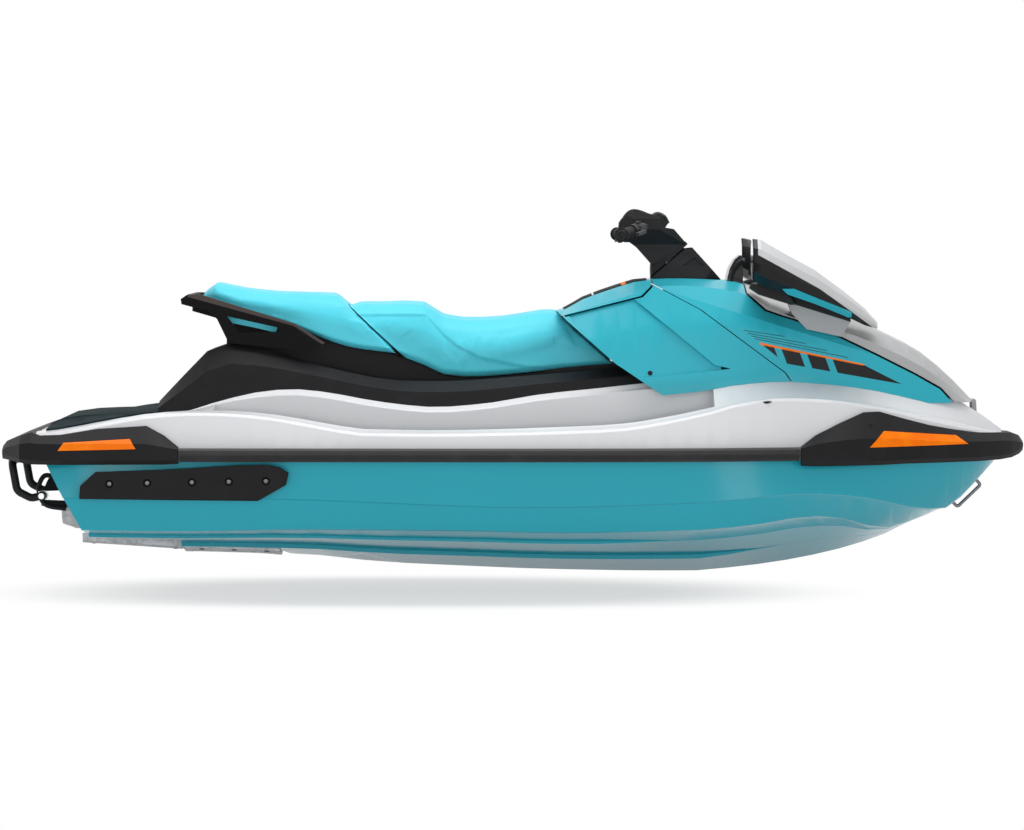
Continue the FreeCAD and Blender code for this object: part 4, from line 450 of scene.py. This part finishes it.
def turned(place, axis, profile, count=20):
    """Profile of distances along an axis and radii, turned about that axis."""
    axis = np.asarray(axis, dtype=float) / np.linalg.norm(axis)
    helper = np.array([0.0, 0.0, 1.0]) if abs(axis[2]) < 0.9 else np.array([1.0, 0.0, 0.0])
    side = np.cross(axis, helper)
    side /= np.linalg.norm(side)
    other = np.cross(axis, side)
    angle = np.linspace(0, math.tau, count, endpoint=False)
    wheel = np.cos(angle)[:, None] * side + np.sin(angle)[:, None] * other
    t, r = np.asarray(profile, dtype=float).T
    return skin(np.asarray(place) + t[:, None, None] * axis + r[:, None, None] * wheel[None])


def flipped(parts):
    """The same parts on the other side of the centre plane."""
    mirrored = []
    for verts, groups in parts:
        mirrored.append((verts * np.array([1, -1, 1]), [faces[:, ::-1] for faces in groups]))
    return mirrored


def make(name, parts, finish, body):
    """One piece from several closed parts, riding on a body."""
    verts, faces, start = [], [], 0
    for points, groups in parts:
        verts.append(points)
        for group in groups:
            faces += (group + start).tolist()
        start += len(points)
    data = bpy.data.meshes.new(name)
    data.from_pydata(np.concatenate(verts).tolist(), [], faces)
    data.materials.append(finish.material)
    data.polygons.foreach_set("use_smooth", [True] * len(data.polygons))
    piece = bpy.data.objects.new(name, data)
    bpy.context.scene.collection.objects.link(piece)
    split = piece.modifiers.new("split", "EDGE_SPLIT")
    split.split_angle = TRIM_CREASE
    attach(piece, body)
    return piece


def points_of(data):
    """Places of a mesh's points, one row each."""
    flat = np.empty(len(data.vertices) * 3)
    data.vertices.foreach_get("co", flat)
    return flat.reshape(-1, 3)


TREES = {}
UPWARD, FORWARD, TO_PORT, TO_STARBOARD = (0, 0, 1), (1, 0, 0), (0, 1, 0), (0, -1, 0)


def spot(node, x, z, y=-1.0, heading=TO_PORT):
    """Point and outward direction where a line with a heading first meets a node."""
    if node not in TREES:
        data = nodes[node].data
        triangles = [list(face.vertices) for face in data.polygons]
        TREES[node] = BVHTree.FromPolygons(points_of(data).tolist(), triangles)
    point, normal, _, _ = TREES[node].ray_cast(Vector((x, y, z)), Vector(heading))
    return np.array(point), np.array(normal)


def bolt(point, normal, radius, height):
    """Domed head with a round socket, let a little into the surface."""
    profile = [(-0.004, radius * 0.96), (0.0, radius), (height * 0.55, radius * 0.97),
               (height * 0.9, radius * 0.78), (height, radius * 0.5), (height, radius * 0.42),
               (height * 0.35, radius * 0.38), (height * 0.3, radius * 0.1)]
    return turned(point, normal, profile)


# Soft seats
def cleaned(data):
    """The same mesh with its loose triangles joined."""
    shape = bmesh.new()
    shape.from_mesh(data)
    bmesh.ops.remove_doubles(shape, verts=shape.verts, dist=WELD_GAP)
    shape.to_mesh(data)
    shape.free()
    return data


def settle(piece):
    """Apply every modifier on a piece."""
    bpy.context.view_layer.update()
    seen = piece.evaluated_get(bpy.context.evaluated_depsgraph_get())
    data = bpy.data.meshes.new_from_object(seen)
    piece.modifiers.clear()
    piece.data = data


def normals_of(data):
    """Outward directions at a mesh's points, one row each."""
    flat = np.empty(len(data.vertices) * 3)
    data.vertex_normals.foreach_get("vector", flat)
    return flat.reshape(-1, 3)


def step_up(values, low, high):
    """Smooth step of an array from 0 at low to 1 at high."""
    t = np.clip((values - low) / (high - low), 0, 1)
    return t * t * (3 - 2 * t)


VOXEL = 0.006
PRESSURE = 4.0
CLOTH_FRAMES = 20
COVER_INSET = 0.003
PUFF_CAP = 0.006
# The plane between the seats and the plane at the front seat's front end, in the side view
SPLIT = ((-0.562, 0.624), (-0.385, 0.461))
FRONT_END = ((0.147, 0.589), (0.316, 0.440))


def blown(piece, cap):
    """Foam pushes the cover out: cloth under pressure, its travel capped."""
    rest = points_of(piece.data)
    cloth = piece.modifiers.new("cloth", "CLOTH")
    cloth.settings.use_pressure = True
    cloth.settings.uniform_pressure_force = PRESSURE
    cloth.settings.effector_weights.gravity = 0.0
    cloth.settings.quality = 4
    cloth.point_cache.frame_end = CLOTH_FRAMES
    scene = bpy.context.scene
    for step in range(1, CLOTH_FRAMES + 1):
        scene.frame_set(step)
    settle(piece)
    scene.frame_set(1)
    travel = points_of(piece.data) - rest
    reach = np.linalg.norm(travel, axis=1)[:, None] + 1e-9
    return rest, travel * np.minimum(cap / reach, 1.0)


def clear_of(points, line):
    """Distance of points from the plane through a line in the side view."""
    (x0, z0), (x1, z1) = line
    run = math.dist(*line)
    return np.abs((points[:, 0] - x0) * (z1 - z0) - (points[:, 2] - z0) * (x1 - x0)) / run


def soften(piece):
    """Round the pad's edges, apart from those along the split and at the front end."""
    points = points_of(piece.data)
    clear = np.minimum(clear_of(points, SPLIT), clear_of(points, FRONT_END))
    weight = np.round(0.12 + 0.88 * step_up(clear, 0.006, 0.03), 1)
    group = piece.vertex_groups.new(name="soft")
    for level in np.unique(weight):
        group.add(np.flatnonzero(weight == level).tolist(), float(level), "REPLACE")
    for name, iterations, lengthways in (("relax", 10, True), ("crown", 40, False)):
        relax = piece.modifiers.new(name, "SMOOTH")
        relax.iterations = iterations
        relax.use_x = relax.use_z = lengthways
        relax.vertex_group = "soft"
    settle(piece)


def padded_seat(name, node, crease):
    """Cover over foam: the seat's solid drawn in, remeshed, blown up, then creased."""
    data = cleaned(nodes[node].data.copy())
    piece = bpy.data.objects.new(name, data)
    bpy.context.scene.collection.objects.link(piece)
    remesh = piece.modifiers.new("remesh", "REMESH")
    remesh.mode = "VOXEL"
    remesh.voxel_size = VOXEL
    settle(piece)
    soften(piece)
    data = piece.data
    facing = normals_of(data)
    rest = points_of(data) - facing * COVER_INSET
    data.vertices.foreach_set("co", rest.ravel())
    data.update()
    rest, travel = blown(piece, PUFF_CAP)
    data = piece.data
    free = step_up(facing[:, 2], -0.5, 0.1)
    rest = rest + travel * free[:, None]
    rest = crease(rest)
    data.vertices.foreach_set("co", rest.ravel())
    data.update()
    finer = piece.modifiers.new("finer", "SUBSURF")
    finer.levels = finer.render_levels = 1
    data.materials.clear()
    data.materials.append(vinyl.material)
    data.polygons.foreach_set("use_smooth", [True] * len(data.polygons))
    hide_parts(node)
    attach(piece, "craft" if node == "front_seat" else "rear_saddle")


def line_height(x, points):
    """Height of a line of points in the side view, at each place along the craft."""
    xs, zs = zip(*points)
    return np.interp(x, xs, zs)


FRONT_CREASE = [(-0.30, 0.600), (-0.286, 0.582), (-0.245, 0.535), (-0.204, 0.501), (-0.125, 0.460),
                (-0.05, 0.443), (0.012, 0.431), (0.10, 0.424), (0.3, 0.42)]
REAR_EDGE = [(-1.05, 0.655), (-0.99, 0.668), (-0.93, 0.644), (-0.8, 0.625), (-0.6, 0.6), (-0.4, 0.5)]


def front_crease(points):
    """Lower rear flank drawn in below a curved line, most at the back and fading forward."""
    x, y, z = points.T
    drop = line_height(x, FRONT_CREASE) - z
    fade = (1 - step_up(x, -0.05, 0.12)) * step_up(np.abs(y), 0.08, 0.16)
    pull = (0.006 * step_up(drop, 0.0, 0.012) + 0.008 * step_up(drop, 0.0, 0.12)) * fade
    points[:, 1] = y - np.sign(y) * pull
    return points


def rear_crease(points):
    """Flanks drawn in below the upper edge, most at the back and fading forward."""
    x, y, z = points.T
    drop = line_height(x, REAR_EDGE) - z
    fade = (1 - step_up(x, -0.85, -0.6)) * step_up(np.abs(y), 0.08, 0.16)
    pull = 0.010 * step_up(drop, -0.01, 0.04) * fade
    points[:, 1] = y - np.sign(y) * pull
    return points


padded_seat("front_seat_cover", "front_seat", front_crease)
padded_seat("rear_seat_cover", "rear_seat", rear_crease)


def seat_skirt():
    """Vinyl flap under the rear seat, seen through the slots of the handle."""
    run = [(-0.972, -0.203, 0.590), (-0.93, -0.203, 0.583), (-0.86, -0.203, 0.569),
           (-0.79, -0.203, 0.552)]
    flap = swept(run, bar_profile(0.0015, 0.016), count=12)
    make("seat_skirt", [flap] + flipped([flap]), vinyl, "rear_saddle")


def seat_gap_shades():
    """Thin black webs in the gaps at both ends of the front seat, sheets of painted shade for the gaps:
    slabs along each gap's line.
    """
    half_thick, half_width = 0.0015, 0.19
    webs = []
    for (x0, z0), (x1, z1) in (((-0.4145, 0.488), (-0.3775, 0.454)),
                               ((0.258, 0.491), (0.31, 0.445))):
        run = math.dist((x0, z0), (x1, z1))
        side = np.array([z0 - z1, 0, x1 - x0]) / run * half_thick
        top, foot = np.array([x0, 0, z0]), np.array([x1, 0, z1])
        ring = np.array([top - side, foot - side, foot + side, top + side])
        webs.append(skin([ring + [0, y, 0] for y in (-half_width, half_width)]))
    make("seat_gap_shades", webs, deep_black, "craft")


seat_skirt()
seat_gap_shades()


# Bolts and screws
SPONSON_BOLTS = [(-1.313, 0.060), (-1.191, 0.063), (-1.047, 0.066), (-0.928, 0.068), (-0.809, 0.070)]
BOLT_SEAT = [(-0.003, 0.0135), (0.0006, 0.0135), (0.001, 0.0125), (0.001, 0.004)]
SCREW_RISE = 0.003
PLATE_SCREWS = [("intake_grate", -1.044, 0.12), ("intake_grate", -0.938, 0.12),
                ("intake_grate", -0.83, 0.12), ("ride_plate", -1.40, 0.13), ("ride_plate", -1.13, 0.13)]


def fasteners():
    """Sponson bolts with their seats, cowl and bumper screws, and screws under the hull."""
    places = [spot("sponsons", x, z) for x, z in SPONSON_BOLTS]
    bolts = [bolt(point, normal, 0.008, 0.0055) for point, normal in places]
    make("sponson_bolts", bolts + flipped(bolts), bolt_black, "craft")
    seats = [turned(point, normal, BOLT_SEAT, 24) for point, normal in places]
    make("bolt_seats", seats + flipped(seats), deep_black, "craft")
    screws = [bolt(*spot("side_cowls", 0.429, 0.409), 0.008, SCREW_RISE),
              bolt(*spot("bow_bumper", 1.145, 0.245), 0.008, SCREW_RISE)]
    make("cowl_screws", screws + flipped(screws), satin_black, "craft")
    plate = [bolt(*spot(node, x, -1.0, -y, UPWARD), 0.009, SCREW_RISE) for node, x, y in PLATE_SCREWS]
    make("plate_screws", plate + flipped(plate), satin_black, "craft")


def vents():
    """Small dark slot in the deck side above the crease."""
    point, normal = spot("deck_moulding", 0.80, 0.318)
    run = np.array([0.019, 0.0, 0.002])
    slot = [swept([point - run, point - run * 0.3, point + run * 0.3, point + run],
                  ring_profile(0.0042, 0.55), up=normal, taper=[0.3, 1, 1, 0.3])]
    make("deck_vents", slot + flipped(slot), gloss_black, "craft")


def bar_ends():
    """Ringed plugs that close the ends of the grips."""
    profile = [(-0.004, 0.013), (-0.002, 0.0165), (0.005, 0.017), (0.008, 0.015), (0.008, 0.0105),
               (0.004, 0.0095), (0.004, 0.002)]
    plug = [turned((0.337, -0.3705, 0.858), (-0.24, -0.96, -0.08), profile, 28)]
    make("bar_ends", plug + flipped(plug), satin_black, "steering")


def switch_pods():
    """Rounded control pods inboard of each grip, with a thumb lever below."""
    body = swept([(0.418, -0.118, 0.882), (0.402, -0.155, 0.879), (0.385, -0.197, 0.874),
                  (0.374, -0.225, 0.871)], ring_profile(0.024, 0.82, 20, 3.0), count=24,
                 taper=[0.6, 0.95, 1.0, 0.7])
    button = swept([(0.40, -0.17, 0.892), (0.394, -0.185, 0.897), (0.39, -0.198, 0.893)],
                   ring_profile(0.009, 0.8, 14, 3.0), count=14, taper=[0.5, 1, 0.5])
    lever = swept([(0.366, -0.205, 0.866), (0.348, -0.215, 0.852), (0.336, -0.235, 0.838),
                   (0.330, -0.262, 0.834)], ring_profile(0.010, 0.55, 14, 3.0), count=24,
                  taper=[0.8, 1.1, 0.9, 0.5])
    pods = [body, button, lever]
    make("switch_pods", pods + flipped(pods), satin_black, "steering")


def column_ring(rear, front, half_width):
    """Rounded oblong across the column, from its rear end to its front end in the side view."""
    across, side = ring_profile(1.0, count=28, power=5.0).T
    rear, front = (np.array([x, 0, z]) for x, z in (rear, front))
    return ((front + rear) / 2 + across[:, None] * (front - rear) / 2
            + side[:, None] * np.array([0, half_width, 0]))


def head_trim():
    """Pad on top of the steering head, the collar below it and the seal on the column."""
    pad = swept([(0.346, 0, 0.906), (0.362, 0, 0.926), (0.38, 0, 0.936), (0.404, 0, 0.933),
                 (0.436, 0, 0.921), (0.462, 0, 0.919), (0.486, 0, 0.905)],
                ring_profile(0.052, 0.12, 24, 4.0), count=32, taper=[0.7, 0.95, 1, 1, 0.95, 0.8])
    knob = swept([(0.442, 0, 0.914), (0.462, 0, 0.921), (0.482, 0, 0.912), (0.496, 0, 0.893)],
                 ring_profile(0.044, 0.28, 24, 3.0), count=20, taper=[0.7, 1, 1.0, 0.7])
    make("head_pad", [pad, knob], satin_black, "steering")
    collar = [column_ring((0.438, 0.763), (0.556, 0.835), 0.0385),
              column_ring((0.437, 0.742), (0.560, 0.831), 0.043),
              column_ring((0.438, 0.7195), (0.563, 0.8265), 0.046)]
    make("head_collar", [skin(collar)], satin_black, "steering")
    rear, front = np.array([0.4405, 0.714]), np.array([0.5545, 0.8109])
    lean = np.array([-0.652, 0.758])
    seal = [column_ring(rear + lean * lift, front + lean * lift, 0.043) for lift in (-0.001, 0.0043)]
    make("column_seal", [skin(seal)], deep_black, "craft")


def mirror_dark_blocks():
    """Dark block under the inner end of each mirror: one outline carried outboard, its ends
    drawn in a little."""
    outline = np.array([(0.762, 0.700), (0.755, 0.683), (0.786, 0.662), (0.888, 0.630),
                        (0.906, 0.632), (0.890, 0.654), (0.863, 0.672), (0.80, 0.706)])
    middle = outline.mean(axis=0)
    rows = []
    for y, size in ((-0.215, 0.9), (-0.225, 1.0), (-0.33, 1.0), (-0.345, 0.9)):
        x, z = (middle + (outline - middle) * size).T
        rows.append(np.stack([x, np.full(len(x), y), z], axis=-1))
    block = skin(rows)
    make("mirror_dark_blocks", [block] + flipped([block]), satin_black, "bonnet")


def display_visor():
    """Thin shell over the display: its height falls from the middle with the fourth power of
    the distance across, and its inner wall is the outer one set in."""
    half_width, fall, wall = 0.098, 0.014, 0.009
    across = np.linspace(-1, 1, 25)
    path = curve_points([(0.700, 0, 0.712), (0.706, 0, 0.745), (0.722, 0, 0.776),
                         (0.741, 0, 0.789)], 24)
    walls = []
    for inset in (0.0, wall):
        z = path[:, 2:] - fall * across[None, :] ** 4 - inset
        x = np.broadcast_to(path[:, :1] + inset, z.shape)
        y = np.broadcast_to(across[None, :] * (half_width - inset), z.shape)
        walls.append(np.stack([x, y, z], axis=-1))
    rings = np.concatenate([walls[0], walls[1][:, ::-1]], axis=1)
    make("display_visor", [skin(rings)], satin_black, "craft")


def transom_bits():
    """Cooling pipe between transom and pump, drain plugs and hinge caps of the step."""
    pipe = [swept([(-1.52, -0.16, 0.06), (-1.56, -0.165, 0.064), (-1.578, -0.17, 0.02),
                   (-1.556, -0.165, -0.03), (-1.49, -0.15, -0.045)], ring_profile(0.008), count=40)]
    make("cooling_pipe", pipe, satin_black, "craft")
    plug_profile = [(-0.004, 0.018), (0.004, 0.018), (0.006, 0.016), (0.006, 0.011),
                    (0.014, 0.010), (0.016, 0.006)]
    plug = [turned(*spot("hull_shell", -3.0, -0.02, -0.33, FORWARD), plug_profile, 24)]
    make("drain_plugs", plug + flipped(plug), satin_black, "craft")
    cap_profile = [(-0.006, 0.011), (0.001, 0.011), (0.003, 0.009), (0.003, 0.003)]
    cap = [turned((-1.563, -0.235, 0.002), TO_STARBOARD, cap_profile)]
    make("step_caps", cap + flipped(cap), steel, "step")


# Seams of the cowls in the side view
COWL_SEAM = [(0.485, 0.671), (0.52, 0.654), (0.595, 0.614), (0.73, 0.513), (0.86, 0.417)]
HOOD_SEAM = [(0.790, 0.632), (0.811, 0.614), (0.851, 0.600), (1.0, 0.553), (1.169, 0.472),
             (1.305, 0.404), (1.385, 0.358)]


def seam_shade_strip(name, node, line):
    """Dark strip behind a panel seam, a sheet of painted shade for the gap: the seam, moved in by the
    thickness of the panel's wall.
    """
    below, skim, clearance = 0.012, 0.0005, 0.003
    usual_wall, thickest_wall = 0.004, 0.008
    path = curve_points([(x, 0, z) for x, z in line], 22)
    along = np.gradient(path, axis=0)
    along /= np.linalg.norm(along, axis=1)[:, None]
    points, normals = [], []
    for seat, shift in zip(path, np.cross(along, TO_PORT) * -below):
        point, normal = spot(node, seat[0] + shift[0], seat[2] + shift[2])
        _, _, _, wall = TREES[node].ray_cast(Vector(point - normal * skim), Vector(-normal))
        depth = min(wall or usual_wall, thickest_wall) + clearance
        points.append(point - normal * depth - shift)
        normals.append(normal)
    band = swept(points, bar_profile(0.012, 0.001), up=np.array(normals), count=60)
    make(name, [band] + flipped([band]), deep_black, "craft")


def lid_strip():
    """Thin black film over the crown of the glovebox lid: a flat grid dropped onto the lid."""
    long, wide, above = 40, 30, 0.8
    x, y = np.meshgrid(np.linspace(0.15, 0.424, long), np.linspace(-0.13, 0.13, wide),
                       indexing="ij")
    verts = np.stack([x, y, np.full(x.shape, above)], axis=-1).reshape(-1, 3)
    i, j = np.meshgrid(np.arange(long - 1), np.arange(wide - 1), indexing="ij")
    first = i * wide + j
    quads = np.stack([first, first + wide, first + wide + 1, first + 1], axis=-1).reshape(-1, 4)
    piece = make("lid_strip", [(verts, [quads])], strip_black, "glovebox_cover")
    piece.modifiers.clear()
    wrap = piece.modifiers.new("wrap", "SHRINKWRAP")
    wrap.wrap_method = "PROJECT"
    wrap.use_project_z = True
    wrap.use_negative_direction = True
    wrap.use_positive_direction = False
    wrap.target = nodes["glovebox_lid"]
    wrap.offset = 0.0008
    thick = piece.modifiers.new("thick", "SOLIDIFY")
    thick.thickness = 0.0016
    thick.offset = 1.0
    settle(piece)


# Dark strips behind the seams stand in for the shade in the gaps
seam_shade_strip("cowl_seam_shade", "side_cowls", COWL_SEAM)
seam_shade_strip("hood_seam_shade", "front_cowl", HOOD_SEAM)
lid_strip()
fasteners()
vents()
bar_ends()
switch_pods()
head_trim()
mirror_dark_blocks()
display_visor()
transom_bits()


# Studio
FLOOR_LEVEL = -0.332
FLOOR_HALF_SIZE = 30.0
SIGHT_RAYS = ("Is Camera Ray", "Is Glossy Ray", "Is Transmission Ray")
# Width of the photograph in pixels, and metres to a pixel at the craft's middle
PHOTO_WIDTH = 1024
PIXEL = 3.325e-3
FILM_WIDTH = 36.0


def pale_sheet():
    """Floor below the keel. Its shadow stays in an oval patch and fades to plain white outside,
    and a share of its own white keeps the shadow pale."""
    patch_middle, patch_squeeze, fade_start, fade_end, own_white = -0.35, 0.6, 0.45, 0.95, 0.62
    data = bpy.data.meshes.new("floor")
    size, level = FLOOR_HALF_SIZE, FLOOR_LEVEL
    data.from_pydata([(-size, -size, level), (size, -size, level), (size, size, level),
                      (-size, size, level)], [], [(0, 1, 2, 3)])
    floor = bpy.data.objects.new("floor", data)
    bpy.context.scene.collection.objects.link(floor)
    finish = Finish("floor_white").set(Base_Color=(0.86, 0.86, 0.86), Roughness=0.9,
                                       Specular_IOR_Level=0.0)
    across = (finish.axis("X") - patch_middle) * patch_squeeze
    away = finish.axis("Y")
    reach = (across * across + away * away).math("SQRT")
    camera_ray, glossy_ray, clear_ray = (finish.node("ShaderNodeLightPath", {}, {}, ray)
                                         for ray in SIGHT_RAYS)
    seen = camera_ray.math("MAXIMUM", glossy_ray).math("MAXIMUM", clear_ray)
    glow = finish.node("ShaderNodeEmission", {}, {"Color": (1, 1, 1), "Strength": 1.0})
    white = (reach.ramp(fade_start, fade_end) * (1 - own_white) + own_white) * seen
    lit = Value(finish, finish.shader.outputs[0])
    blend = finish.node("ShaderNodeMixShader", {}, {0: white, 1: lit, 2: glow})
    finish.feed(finish.tree.nodes["Material Output"].inputs[0], blend)
    data.materials.append(finish.material)


def white_world():
    """Plain white to the camera, reflections and glass; a soft pale light to everything else."""
    world = bpy.data.worlds.new("studio")
    bpy.context.scene.world = world
    world.use_nodes = True
    tree = world.node_tree
    tree.nodes.clear()
    path = tree.nodes.new("ShaderNodeLightPath")
    sight = path.outputs[SIGHT_RAYS[0]]
    for ray in SIGHT_RAYS[1:]:
        either = tree.nodes.new("ShaderNodeMath")
        either.operation = "MAXIMUM"
        tree.links.new(sight, either.inputs[0])
        tree.links.new(path.outputs[ray], either.inputs[1])
        sight = either.outputs[0]
    dim = tree.nodes.new("ShaderNodeBackground")
    dim.inputs["Color"].default_value = (1, 1, 1, 1)
    dim.inputs["Strength"].default_value = 0.48
    bright = tree.nodes.new("ShaderNodeBackground")
    bright.inputs["Color"].default_value = (1, 1, 1, 1)
    mix = tree.nodes.new("ShaderNodeMixShader")
    out = tree.nodes.new("ShaderNodeOutputWorld")
    tree.links.new(sight, mix.inputs[0])
    tree.links.new(dim.outputs[0], mix.inputs[1])
    tree.links.new(bright.outputs[0], mix.inputs[2])
    tree.links.new(mix.outputs[0], out.inputs[0])


def lamp(name, place, aim, size, power):
    """Oblong soft lamp that faces a point, with its size in metres and power in watts."""
    data = bpy.data.lights.new(name, "AREA")
    data.shape = "RECTANGLE"
    data.size, data.size_y = size
    data.energy = power
    light = bpy.data.objects.new(name, data)
    bpy.context.scene.collection.objects.link(light)
    light.location = place
    light.rotation_euler = (Vector(aim) - Vector(place)).to_track_quat("-Z", "Y").to_euler()


def camera():
    """View of the starboard side, from far away and a little above."""
    down = math.radians(2.4)
    away = 16.0
    aim = Vector((-0.02, 0.0, 0.258))
    data = bpy.data.cameras.new("camera")
    data.lens = FILM_WIDTH * away / (PHOTO_WIDTH * PIXEL)
    data.sensor_width = FILM_WIDTH
    data.clip_end = 200.0
    made = bpy.data.objects.new("camera", data)
    bpy.context.scene.collection.objects.link(made)
    made.location = aim - Vector((0, math.cos(down), -math.sin(down))) * away
    made.rotation_euler = (math.radians(90) - down, 0, 0)
    bpy.context.scene.camera = made


pale_sheet()
white_world()
lamp("overhead", (0.0, -0.4, 4.6), (0, 0, 0.2), (6.5, 2.4), 205)
lamp("front", (0.0, -7.5, 2.6), (0, 0, 0.2), (8.0, 2.5), 62)
lamp("low", (0.0, -6.0, 0.25), (0, 0, -0.1), (8.0, 0.9), 62)
camera()
bpy.context.scene.view_settings.view_transform = "Standard"
